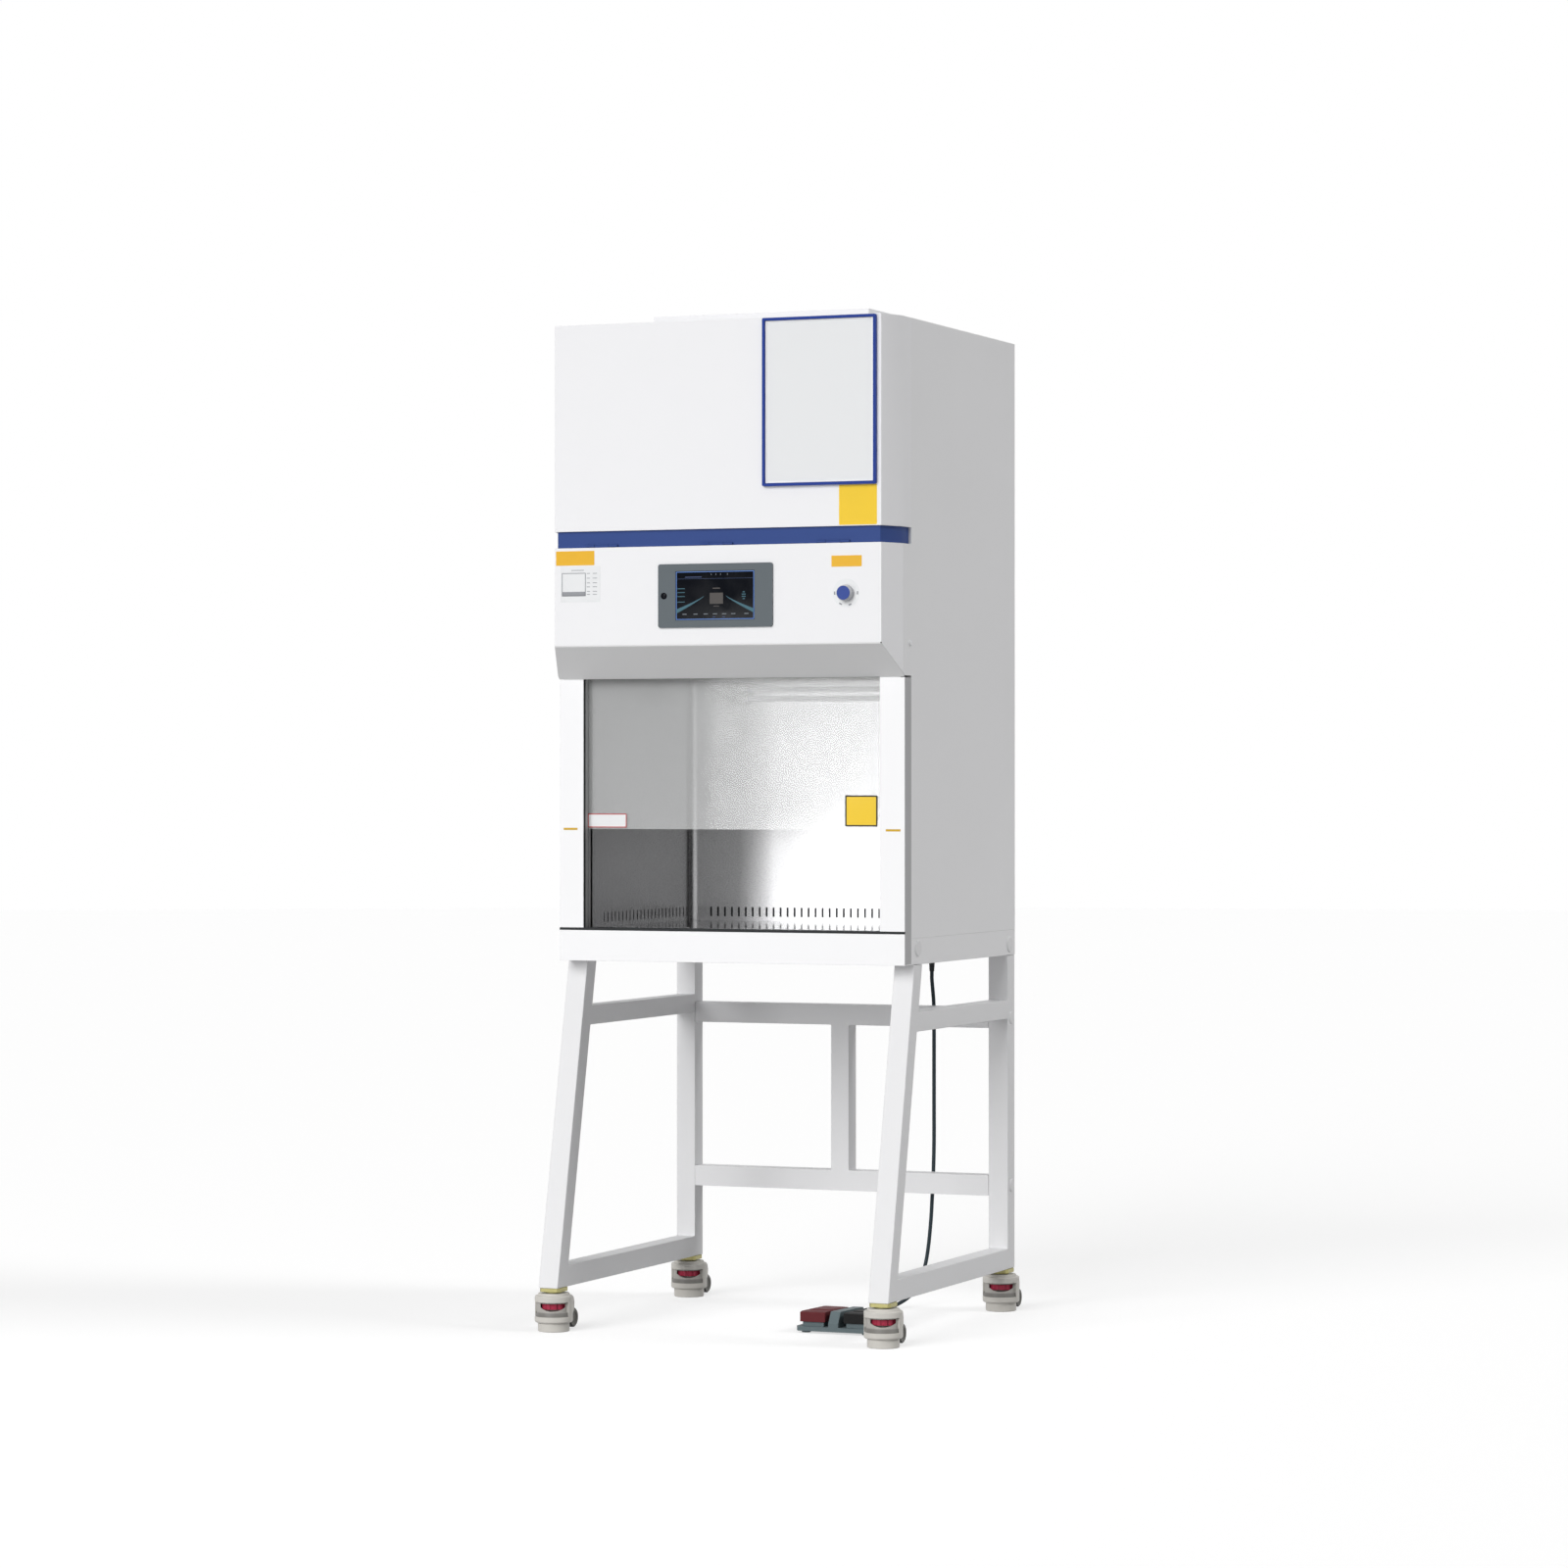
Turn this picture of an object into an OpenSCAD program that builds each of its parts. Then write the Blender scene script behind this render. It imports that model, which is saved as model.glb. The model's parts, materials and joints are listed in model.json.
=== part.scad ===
// Class II biosafety cabinet on its stand, with levelling casters and a
// double foot switch. Millimetres, +Z up, +X to the right of someone working
// at it, +Y away from them. The origin is on the floor, under the middle of
// the whole machine.

/* [Cabinet body] */
// Width of the cabinet body
cabinet_w = 750; // [700:5:860]
// Depth of the body, from the pillars' front face to the back panel
cabinet_d = 650; // [630:5:720]
// Height of the body above the stand
cabinet_h = 1282; // [1250:2:1400]
// Thickness of the painted sheet
sheet = 2; // [1.2:0.1:2.5]
// Width of the white pillars beside the opening
pillar_w = 53; // [50:1:60]
// Depth of the front frame's side strips
front_strip_d = 37; // [37:1:44]
// Height of the base frame that the side panels stand on
base_h = 52; // [40:1:58]
// Height of the white fascia under the opening
fascia_h = 62; // [60:1:80]
// Thickness of the dark sill strip
sill_t = 5; // [3:0.5:8]
// Depth of the air duct between the rear wall of the chamber and the back panel
rear_duct = 110; // [90:2:130]
// Gap left between parts that only lie beside each other
seam_gap = 0.4; // [0.3:0.1:0.8]

/* [Hood] */
// How far the hood stands out in front of the pillars
hood_reach = 71; // [60:1:90]
// Width that each angled corner of the hood takes from its front
hood_corner_w = 22; // [12:1:40]
// How far in front of the pillars the angled corners end
hood_corner_start = 8; // [4:1:16]
// Height of the slanting visor
visor_rise = 64; // [50:1:76]
// Height of the control cover's upright front
cover_h = 199; // [180:1:215]
// Height of the recessed band between the two covers
band_h = 33; // [26:1:40]
// Depth of that recess
band_recess = 6; // [5:0.5:8]
// Gap between the hood's side strips and the pillars below them
strip_gap = 4; // [2:0.5:6]

/* [Work chamber] */
// Height of the opening, from the sill to the visor's lower edge
opening_h = 503; // [490:1:520]
// Height of the working opening under the sash at rest
sash_open = 200; // [150:5:250]
// Thickness of the sash glass
glass_t = 5; // [4:0.5:6]
// Height of the sash glass
glass_h = 540; // [530:5:560]
// Thickness of the stainless sheet
liner_t = 1.5; // [1:0.1:2]
// Radius of the chamber's rear corners
corner_r = 15; // [8:1:20]
// Width of an air slot
slot_w = 4.5; // [3:0.5:6]
// Height of an air slot
slot_h = 20; // [12:1:24]
// Pitch of the slots in the rear wall
rear_pitch = 16; // [12:1:20]
// Pitch of the slots in the side walls
side_pitch = 18.4; // [14:0.2:20]
// Radius of the ultraviolet tubes
uv_r = 5.5; // [4:0.5:7]

/* [Controls] */
// Width of the touch panel's bezel
bezel_w = 247; // [200:1:280]
// Height of the touch panel's bezel
bezel_h = 127; // [110:1:135]
// How far the bezel stands out of the cover
bezel_t = 4; // [3:0.5:8]
// Width of the touch screen
screen_w = 171; // [140:1:175]
// Height of the touch screen
screen_h = 98; // [80:1:100]
// Radius of the selector knob
knob_r = 15.5; // [12:0.5:18]
// How far the selector knob stands out
knob_reach = 15; // [10:0.5:17]
// Outer width of the framed panel
frame_w = 241; // [200:1:250]
// Outer height of the framed panel
frame_h = 333; // [280:1:340]
// Width of the frame's bars
frame_bar = 5.5; // [4:0.5:8]

/* [Air handling] */
// Thickness of the supply filter
supply_h = 78; // [69:1:90]
// Thickness of the exhaust filter
exhaust_h = 80; // [69:1:90]
// Width of the exhaust collar
collar_w = 474; // [420:2:520]
// Depth of the exhaust collar
collar_d = 400; // [340:2:410]
// How far the exhaust collar stands above the cabinet
collar_h = 35; // [30:1:60]
// Radius of the blower wheel
impeller_r = 125; // [100:1:130]
// Width of the blower wheel
impeller_w = 80; // [60:1:90]
// Number of blades on the blower wheel
blades = 9; // [6:1:13]

/* [Stand] */
// Height of the stand, from the floor to the underside of the cabinet
stand_h = 744; // [700:2:800]
// How far each side frame stands out beyond the cabinet's side
stand_out = 2.5; // [0:0.5:6]
// Outer size of the square tube
tube = 43; // [38:1:46]
// Wall of the square tube
tube_wall = 2; // [1.5:0.1:3]
// Height of the middle side rail
mid_rail = 39; // [34:1:44]
// Height of the middle side rail's underside above the floor
mid_rail_z = 611; // [570:1:640]
// How far the front leg's foot stands ahead of its top
leg_splay = 145; // [100:1:160]
// Distance of the front leg's top behind the pillars' front face
leg_top_d = 48.5; // [44:0.5:60]
// Distance of the rear legs' back face ahead of the back panel
rear_leg_in = 9; // [6:1:30]
// Height of the upper rear beam's underside above the floor
upper_beam_z = 591; // [540:1:620]
// Height of the lower rear beam's underside above the floor
lower_beam_z = 240; // [180:1:300]
// Width of the strut between the two rear beams
strut_w = 40; // [30:1:50]

/* [Casters] */
// Height of a caster
caster_h = 88; // [86:1:92]
// Radius of the caster housing's rings
ring_r = 38.5; // [37:0.5:42]
// Radius of the levelling pad
pad_r = 32; // [28:0.5:33]
// How far the levelling pad can be drawn up
pad_travel = 10; // [6:0.5:10]
// How deep the housing's waist lies inside its rings
waist_in = 5.4; // [4:0.2:6]
// Turn of the thumbwheel's window from the caster's front
window_turn = 20; // [0:1:24]
// Radius of the red thumbwheel
thumb_r = 27; // [25:0.5:28]
// Radius of the twin wheels
wheel_r = 19.5; // [17:0.5:21]
// Distance of the twin wheels' axle behind the caster's own axis
wheel_trail = 51.5; // [51:0.5:56]
// Radial clearance of a shaft in its hole
running_fit = 0.05; // [0.02:0.01:0.1]

/* [Foot switch] */
// Width of the foot switch
foot_w = 166; // [160:2:180]
// Depth of the foot switch
foot_d = 150; // [140:2:170]
// Height of the pedals' tops above the floor
foot_h = 43; // [41:0.5:48]
// Width of one pedal
pedal_w = 54; // [46:1:58]
// Diameter of the foot switch's cable
cable_d = 8; // [6:0.5:9]

/* [Hidden] */
$fn = 64;
eps = 0.01;

// Depths: how far the front face of the pillars lies ahead of the origin.
front_leg_t = tube * sqrt(1 + pow(leg_splay / (stand_h - caster_h), 2));
caster_front_d = leg_top_d - leg_splay + front_leg_t / 2 + 6.5;
caster_rear_d = cabinet_d - rear_leg_in - tube / 2 - 4;
caster_reach = wheel_trail + wheel_r;
front_y = -(caster_rear_d + caster_reach + caster_front_d - ring_r) / 2;
function at(d) = front_y + d;

// Levels of the body
z_base = stand_h;
z_seam = z_base + base_h;
z_sill = z_base + fascia_h;
z_work = z_sill + sill_t;
z_visor = z_work + opening_h;
z_cover = z_visor + visor_rise;
z_band = z_cover + cover_h;
z_upper = z_band + band_h;
z_top = z_base + cabinet_h;
z_collar = z_top + collar_h;

// Plan of the body and the hood
half = cabinet_w / 2;
seam_y = at(front_strip_d);
back_y = at(cabinet_d);
hood_y = at(-hood_reach);
corner_y = at(-hood_corner_start);
cover_back = corner_y + 1;
corner_a = atan(hood_corner_w / (hood_reach - hood_corner_start));
side_turn = tan(corner_a / 2);
front_turn = tan((90 - corner_a) / 2);
opening_x = half - pillar_w;
post_out = half - band_recess - sheet;
post_flange = 3;
flange = 18;
band_lap = 16;
cover_lip = 12;

// Slanting visor: its outer face runs from hood_y at z_cover down to lip_y
lip_y = at(-1);
slant = atan(visor_rise / (lip_y - hood_y));
slant_len = visor_rise / sin(slant);

// Hinges of the control cover, in the recess under the blue band
hinge_r = 2.8;
hinge_pin_r = 1.3;
hinge_y = hood_y + band_recess + 0.2 - hinge_r;
hinge_z = z_band + hinge_r + seam_gap;
hinge_x = [-250, 0, 250];
hinge_len = 70;
hinge_mid = 30;

// Work chamber
chamber_x = opening_x - 4;
liner_y = at(front_strip_d + 0.5);
rear_y = at(cabinet_d - rear_duct);
side_rear_y = rear_y - corner_r - 2;
z_liner = z_visor + 6;
tray_front = liner_y + 4;
tray_gap = 0.6;
tray_h = 22;
tray_end = 20;
intake_slot = [4, 30];
intake_in = 8;
rail_w = 12;
rail_t = 2;
pin_r = 1.6;
pin_in = 6;
pin_up = 15;
intake_pitch = 12;
slot_z = z_work + 9;
slots_rear = floor((2 * (chamber_x - corner_r) - 60) / rear_pitch) + 1;
side_slot_y = at(93);
slots_side = floor((side_rear_y - side_slot_y - 6) / side_pitch) + 1;
pin_holes = 12;
pin_hole_pitch = 17;

// Sash, its guides and its drive
glass_y = at(25);
glass_gap = 0.5;
guide_w = 16;
guide_back = front_strip_d - sheet;
glass_x = opening_x + guide_w - 4;
z_glass = z_work + sash_open;
glass_top = z_glass + glass_h;
sash_up = 290;
carrier_h = 30;
z_guide = glass_top + sash_up + carrier_h - 10;
belt_x = opening_x + 33;
belt_w = 10;
belt_t = 1.5;
pulley_r = 11.25;
belt_r = pulley_r + belt_t / 2;
shaft_y = at(20);
shaft_r = 5;
shaft_z = glass_top + sash_up + carrier_h + 46;
belt_low = z_work + 34;
belt_grip = 4;
drive_x = 60;
drive_len = 130;
drive_r = 27;
gear_w = 30;
gear_half = 26;
hanger_in = 10;
hanger_end = 40;
hanger_half = 20;
bearing_in = 22;
bearing_w = 14;
bearing_half = 11;
guide_front = 15;
guide_flap = 8;
clip_depth = 12;
clip_edge = 3;
clamp_low = 4;
clamp_h = 22;
clamp_front = 8.5;
clamp_back = 14.5;
clamp_wall = 2.4;
clamp_gap = 0.4;

// Lamps
uv_z = z_visor - 23;
uv_pitch = 19;
holder_w = 80;
holder_h = 42;
holder_d = 30;
holder_x = 219;
holder_round = 8;
uv_end = holder_x + 12;
lamp_z = z_visor + 36;
lamp_half = opening_x - 20;
lamp_back = at(-6);
lamp_d = 28;
lamp_h = 22;
lamp_end = 4;
lamp_r = 7;
bracket_in = 10;
bracket_w = 40;

// Air handling, stacked over the chamber
z_supply = z_liner;
z_plenum = z_supply + supply_h;
z_exhaust = z_top - 51 - exhaust_h;
z_filter_top = z_exhaust + exhaust_h;
filter_x = chamber_x + 8;
filter_y0 = at(60);
filter_y1 = rear_y - 6;
collar_y = at(160);
collar_x = collar_w / 2;
collar_lip = 12;
grille_x = 70;
grille_y = 16;
blower_up = 240;
blower_in = 12;
blower_z = z_plenum + blower_up;
blower_y = filter_y1 - blower_in;
motor_r = 62;
motor_len = 90;
motor_gap = 14;
motor_fins = 6;
fin_start = 14;
fin_pitch = 13;
fin_t = 4;
fin_h = 4;
motor_shaft_r = 8;
shaft_short = 20;
strap_start = 38;
strap_t = 8;
strap_up = 48;
filter_wall = 14;
fold_end = 8;
fold_t = 2;
duct_rim = 22;
grille_up = 4;
grille_edge = 20;
grille_rib = [12, 8];

// Control cover's fittings
bezel_z = z_cover + 99.5;
knob_x = 279;
knob_z = z_cover + 100;
knob_shaft_r = 5;
frame_x = half - 31 - frame_w / 2;
frame_z = z_top - 1.5 - frame_h / 2;
frame_t = 8;

// Stand
stand_x = half + stand_out;
leg_x = stand_x - tube / 2;
rear_leg_y = back_y - rear_leg_in;
foot_front_y = at(leg_top_d - leg_splay);

// Caster levels, from the floor
pad_h = 19.5;
flange_z = 18;
flange_h = 12;
recess_z = pad_h + pad_travel + 0.5;
neck_z = 39;
thumb_z = 45;
thumb_h = 11;
shoulder_z = 60;
collar_z = 72;
ring_top = 77;
stem_r = 8;
plate_w = 45;
plate_t = 8;
plate_cut = 5;
pivot_r = 17;
wheel_t = 12;
axle_r = 4;
web_half = 10;
wheel_z = wheel_r + 3;

// Caster housing: waist between the rings, window of the thumbwheel, and the
// rear shroud over the wheels
waist_r = ring_r - waist_in;
waist_half = 76;
window_half = 25;
window_sag = 8;
window_low = 41.5;
window_high = 57.5;
window_r = (window_half * window_half + window_sag * window_sag) / (2 * window_sag);
shroud_half = 27;
stem_cap = 1.5;
thumb_gap = 0.5;
thumb_lobes = 12;
lobe_r = 4.5;
lobe_out = 2.5;
caster_x = leg_x;
casters = [[-1, 0], [1, 0], [-1, 1], [1, 1]];

// Foot switch
foot_x = 187;
foot_y = at(90);
foot_feet = 4;
foot_feet_r = 9;
foot_plate = 9;
foot_cut = [6, 12];
bridge_w = 21;
pedal_z = 22;
pedal_front = 6;
pedal_len = foot_d - 14;
pedal_wall = 3;
pedal_gap = 1.5;
tread_in = 6;
tread_t = 1;
foot_margin = 9;
lug_w = 20;
lug_d = 12;
pedal_mid = foot_w / 2 - foot_margin - pedal_w / 2;
pedal_pin_r = 2.5;
pedal_pin_y = foot_y + foot_d - 22;
pedal_pin_z = 29;

// Cable: from the gland under the cabinet, down behind the rear beams, and
// along the floor to the foot switch. Points chosen by hand, [x, y, z].
cable_route = [
    [194, 346, 706], [194, 346, 698], [194, 346, 690], [194, 351, 668],
    [194, 357, 640],
    [194, 359, 590], [194, 359, 530], [194, 359, 470], [194, 359, 410],
    [194, 359, 350], [193, 359, 300], [192, 358, 260], [190, 358, 225],
    [188, 358, 190], [185, 358, 155], [181, 358, 120], [176, 356, 88],
    [170, 347, 58], [163, 327, 33], [154, 300, 18], [145, 268, 9],
    [139, 232, 5], [138, 195, 5], [142, 158, 5], [151, 122, 5],
    [165, 90, 5], [183, 63, 5], [203, 40, 6], [220, 18, 9],
    [228, -2, 12], [230, -18, 13], [230, -26, 13], [230, -34, 13]
];
gland_wall = 1;
gland_nut = 6;
gland_nut_r = 8.5;
gland_boot = 32;
gland_boot_r = 7;
gland_tail = 16;
gland_tail_r = 6.5;
gland_x = 194;
gland_y = back_y - 14;
outlet_x = foot_x + 43;
outlet_z = 13;
outlet_block = [24, 7, 8];

// ---------- shared shapes ----------

// A block between two opposite corners.
module block(a, b) {
    translate(a) cube(b - a);
}

// The same thing on both sides of the cabinet's middle plane.
module both_sides() {
    children();
    mirror([1, 0, 0]) children();
}

// A square with round corners, centred.
module rounded(w, h, r) {
    square([w - 2 * r, h], center = true);
    square([w, h - 2 * r], center = true);
    for (x = [-1, 1], y = [-1, 1])
        translate([x * (w / 2 - r), y * (h / 2 - r)]) circle(r);
}

// Outline of the hood seen from above, moved inwards by i and open to back.
function hood_plan(i, back) = [
    [-(half - i), back],
    [-(half - i), corner_y + side_turn * i],
    [-(half - hood_corner_w - front_turn * i), hood_y + i],
    [half - hood_corner_w - front_turn * i, hood_y + i],
    [half - i, corner_y + side_turn * i],
    [half - i, back]
];

// A skin that follows the hood's plan, from inset i0 to inset i1.
module hood_skin(i0, i1, back, z0, z1) {
    translate([0, 0, z0]) linear_extrude(z1 - z0) difference() {
        polygon(hood_plan(i0, back));
        polygon(hood_plan(i1, back + 1));
    }
}

// Everything above the visor's slanting plane moved up by s, as a long prism.
module above_slant(s) {
    ahead = [hood_y, z_cover] + s * [sin(slant), cos(slant)]
        - 60 * [cos(slant), -sin(slant)];
    behind = [hood_y, z_cover] + s * [sin(slant), cos(slant)]
        + (slant_len + 90) * [cos(slant), -sin(slant)];
    across_x(half + 5)
        polygon([ahead, behind, [behind[0], z_upper], [ahead[0], z_upper]]);
}

// Extrudes a (y, z) outline from -x to +x.
module across_x(x) {
    translate([-x, 0, 0]) rotate([90, 0, 90]) linear_extrude(2 * x) children();
}

// A round bar along X, along Y, and a ring around Z.
module bar_x(r, x0, x1, y, z) {
    translate([x0, y, z]) rotate([0, 90, 0]) cylinder(r = r, h = x1 - x0);
}
module bar_y(r, y0, y1, x, z) {
    translate([x, y0, z]) rotate([-90, 0, 0]) cylinder(r = r, h = y1 - y0);
}
module ring(r, bore, h) {
    difference() {
        cylinder(r = r, h = h);
        translate([0, 0, -1]) cylinder(r = bore, h = h + 2);
    }
}

// ---------- cabinet body ----------

module side_panels() {
    color([0.86, 0.86, 0.87]) both_sides() {
        block([half - sheet, seam_y, z_seam], [half, back_y, z_top]);
        block([half - flange, seam_y, z_seam],
            [half - sheet + eps, seam_y + sheet, z_top - 2 * sheet]);
        block([half - flange, back_y - 2 * sheet, z_seam],
            [half - sheet + eps, back_y - sheet, z_top - 2 * sheet]);
        block([half - flange, seam_y, z_top - 2 * sheet],
            [half - sheet + eps, back_y - sheet, z_top - sheet]);
    }
}

module back_panel() {
    color([0.86, 0.86, 0.87])
        block([-half + sheet, back_y - sheet, z_seam], [half - sheet, back_y, z_top - sheet]);
}

module top_panel() {
    color([0.9, 0.9, 0.91]) difference() {
        block([-half + sheet, seam_y, z_top - sheet], [half - sheet, back_y, z_top]);
        block(
            [-collar_x - seam_gap, collar_y - seam_gap, z_top - 2 * sheet],
            [collar_x + seam_gap, collar_y + collar_d + seam_gap, z_top + 1]
        );
    }
}

module base_frame() {
    color([0.86, 0.86, 0.87]) {
        block([-half, at(sheet), z_base], [half, back_y, z_base + sheet]);
        both_sides()
            block([half - sheet, seam_y, z_base], [half, back_y, z_seam]);
        block([-half, back_y - sheet, z_base], [half, back_y, z_seam]);
        block([-opening_x, at(sheet), z_base], [opening_x, at(2 * sheet), z_sill - sheet]);
    }
}

module front_fascia() {
    color([0.97, 0.97, 0.98]) {
        block([-half, at(0), z_base], [half, at(sheet), z_sill]);
        both_sides() {
            block([opening_x, at(0), z_work], [half, at(sheet), z_visor - 1]);
            block([opening_x, at(0), z_visor - 2], [post_out - 1, at(sheet), z_visor + 26]);
        }
    }
}

module front_posts() {
    color([0.62, 0.62, 0.63]) both_sides() {
        difference() {
            block([opening_x + 1, at(sheet), z_base + sheet], [post_out, seam_y, z_top - 2 * sheet]);
            block([opening_x, at(2 * sheet), z_base], [post_out - sheet, seam_y - sheet, z_top]);
        }
        difference() {
            block([post_out - eps, at(sheet), z_base + sheet], [half, seam_y, z_visor - 1]);
            block([post_out, at(2 * sheet), z_base], [half - sheet, seam_y - sheet, z_visor]);
        }
    }
}

module sill_strip() {
    color([0.16, 0.17, 0.18]) {
        block([-half, at(0), z_sill], [half, at(sheet), z_work]);
        block([-opening_x, at(sheet) - eps, z_sill], [opening_x, liner_y, z_work]);
        block([-opening_x, at(sheet), z_sill - sheet], [opening_x, at(3 * sheet), z_sill + eps]);
    }
}

// ---------- hood ----------

module hood_side_strips() {
    color([0.86, 0.86, 0.87]) both_sides() {
        intersection() {
            block([half - sheet, cover_back + seam_gap, z_visor + strip_gap - 1], [half, seam_y, z_band]);
            above_slant(sheet + 0.8);
        }
        block([post_out, seam_y - sheet, z_visor + strip_gap - 1], [half - sheet + eps, seam_y, z_band]);
        bar_x(5.5, half - eps, half + 4, seam_y - 7, z_cover + 3);
    }
}

module upper_hood_cover() {
    color([0.95, 0.95, 0.96]) {
        hood_skin(0, sheet, seam_y, z_upper, z_top - sheet + eps);
        translate([0, 0, z_top - sheet])
            linear_extrude(sheet) polygon(hood_plan(0, seam_y));
        hood_skin(sheet - eps, band_recess - seam_gap, seam_y, z_upper, z_upper + sheet);
        both_sides()
            block([post_out, seam_y - sheet, z_upper + band_lap + seam_gap],
                [half - sheet + eps, seam_y, z_top - sheet + eps]);
    }
}

module blue_band() {
    color([0.16, 0.25, 0.56]) {
        hood_skin(band_recess, band_recess + sheet, seam_y, z_band + seam_gap, z_upper + band_lap);
        difference() {
            for (x = hinge_x, side = [-1, 1])
                translate([x + side * (hinge_len + hinge_mid + 2) / 4, hinge_y, hinge_z])
                    rotate([0, 90, 0])
                        cylinder(r = hinge_r, h = (hinge_len - hinge_mid - 2) / 2, center = true);
            for (x = hinge_x)
                bar_x(hinge_pin_r + running_fit, x - hinge_len, x + hinge_len, hinge_y, hinge_z);
        }
    }
}

// The hood's lower skin: front and angled corners down to the visor.
module control_cover() {
    color([0.96, 0.96, 0.97]) difference() {
        intersection() {
            union() {
                hood_skin(0, sheet, cover_back, z_visor - 10, z_band);
                hood_skin(sheet - eps, cover_lip, cover_back, z_band - sheet, z_band);
            }
            above_slant(sheet);
        }
        block([-bezel_w / 2 + 12, hood_y - 1, bezel_z - bezel_h / 2 + 10],
            [bezel_w / 2 - 12, hood_y + sheet + 1, bezel_z + bezel_h / 2 - 10]);
        bar_y(knob_shaft_r + running_fit, hood_y - 1, hood_y + sheet + 1, knob_x, knob_z);
    }
}

module visor() {
    color([0.7, 0.7, 0.7]) difference() {
        intersection() {
            translate([0, 0, z_visor])
                linear_extrude(visor_rise + 10) polygon(hood_plan(0, lip_y));
            above_slant(0);
        }
        above_slant(sheet);
    }
}

module cover_hinges() {
    r = hinge_r - 0.6;
    color([0.16, 0.25, 0.56]) for (x = hinge_x) {
        bar_x(r, x - hinge_mid / 2, x + hinge_mid / 2, hinge_y, hinge_z);
        bar_x(hinge_pin_r, x - hinge_len / 2, x + hinge_len / 2, hinge_y, hinge_z);
        block([x - hinge_mid / 2, hinge_y - r, z_band], [x + hinge_mid / 2, hinge_y + r, hinge_z - 1]);
    }
}

module panel_frame() {
    color([0.15, 0.24, 0.55]) translate([frame_x, hood_y, frame_z])
        rotate([90, 0, 0]) {
            linear_extrude(frame_t) difference() {
                rounded(frame_w, frame_h, 3);
                square([frame_w - 2 * frame_bar, frame_h - 2 * frame_bar], center = true);
            }
            linear_extrude(1.5)
                square([frame_w - frame_bar, frame_h - frame_bar], center = true);
        }
}

// ---------- controls ----------

module screen_bezel() {
    color([0.37, 0.4, 0.42]) difference() {
        translate([0, hood_y, bezel_z]) rotate([90, 0, 0]) {
            linear_extrude(bezel_t) rounded(bezel_w, bezel_h, 5);
            translate([0, 0, -14]) linear_extrude(14 + eps)
                rounded(bezel_w - 25, bezel_h - 21, 3);
        }
        block([-screen_w / 2, hood_y - bezel_t - 1, bezel_z - screen_h / 2],
            [screen_w / 2, hood_y - bezel_t + 2.5, bezel_z + screen_h / 2]);
        bar_y(7, hood_y - bezel_t - 1, hood_y - bezel_t + 1.2, -bezel_w / 2 + 12.5, bezel_z);
    }
}

module touch_screen() {
    color([0.05, 0.07, 0.12]) block(
        [-screen_w / 2 + 0.2, hood_y - bezel_t + 0.7, bezel_z - screen_h / 2 + 0.2],
        [screen_w / 2 - 0.2, hood_y - bezel_t + 2.5, bezel_z + screen_h / 2 - 0.2]
    );
}

module selector_knob() {
    color([0.75, 0.76, 0.78]) translate([knob_x, hood_y - 0.4, knob_z]) rotate([90, 0, 0]) {
        difference() {
            rotate_extrude() polygon([
                [0, 0], [knob_r + 1, 0], [knob_r + 1, 3], [knob_r, 4],
                [knob_r, knob_reach - 2], [knob_r - 1.5, knob_reach], [0, knob_reach]
            ]);
            translate([0, 0, knob_reach - 1.5]) cylinder(r = knob_r - 3, h = 2);
        }
        cylinder(r = knob_r - 3.3, h = knob_reach + 0.6);
        translate([0, 0, -14]) cylinder(r = knob_shaft_r, h = 14 + eps);
        translate([0, 0, -14]) cylinder(r = 10, h = 14 - sheet - 0.8);
    }
}

// ---------- work chamber ----------

// A dished tray with a row of intake slots behind the sill.
module work_tray() {
    tray_x = chamber_x - tray_gap;
    tray_back = rear_y - tray_gap;
    last = floor(2 * (tray_x - tray_end) / intake_pitch);
    color([0.75, 0.76, 0.77]) difference() {
        block([-tray_x, tray_front, z_work - tray_h], [tray_x, tray_back - corner_r, z_work]);
        block([-tray_x + liner_t, tray_front + liner_t, z_work - tray_h - 1],
            [tray_x - liner_t, tray_back, z_work - liner_t]);
        for (i = [0 : last]) translate([
            (i - last / 2) * intake_pitch - intake_slot[0] / 2,
            tray_front + intake_in, z_work - liner_t - 1
        ]) cube([intake_slot[0], intake_slot[1], liner_t + 2]);
    }
    color([0.75, 0.76, 0.77])
        block([-tray_x + corner_r, tray_back - corner_r - eps, z_work - liner_t],
            [tray_x - corner_r, tray_back, z_work]);
}

// Plan of the rear wall with its two round corners.
module rear_wall_plan(inset) {
    x = chamber_x + liner_t - inset;
    y = rear_y + liner_t - inset;
    r = corner_r + liner_t - inset;
    translate([-x, side_rear_y]) square([2 * x, y - r - side_rear_y]);
    translate([-x + r, side_rear_y]) square([2 * (x - r), y - side_rear_y]);
    intersection() {
        for (side = [-1, 1])
            translate([side * (x - r), y - r]) circle(r);
        translate([-half, side_rear_y]) square([2 * half, y]);
    }
}

module rear_liner() {
    color([0.75, 0.76, 0.77]) difference() {
        translate([0, 0, z_base + sheet]) linear_extrude(z_liner - z_base - sheet) difference() {
            rear_wall_plan(0);
            rear_wall_plan(liner_t);
        }
        for (i = [0 : slots_rear - 1])
            translate([(i - (slots_rear - 1) / 2) * rear_pitch - slot_w / 2, rear_y - 1, slot_z])
                cube([slot_w, liner_t + 2, slot_h]);
    }
}

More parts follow.
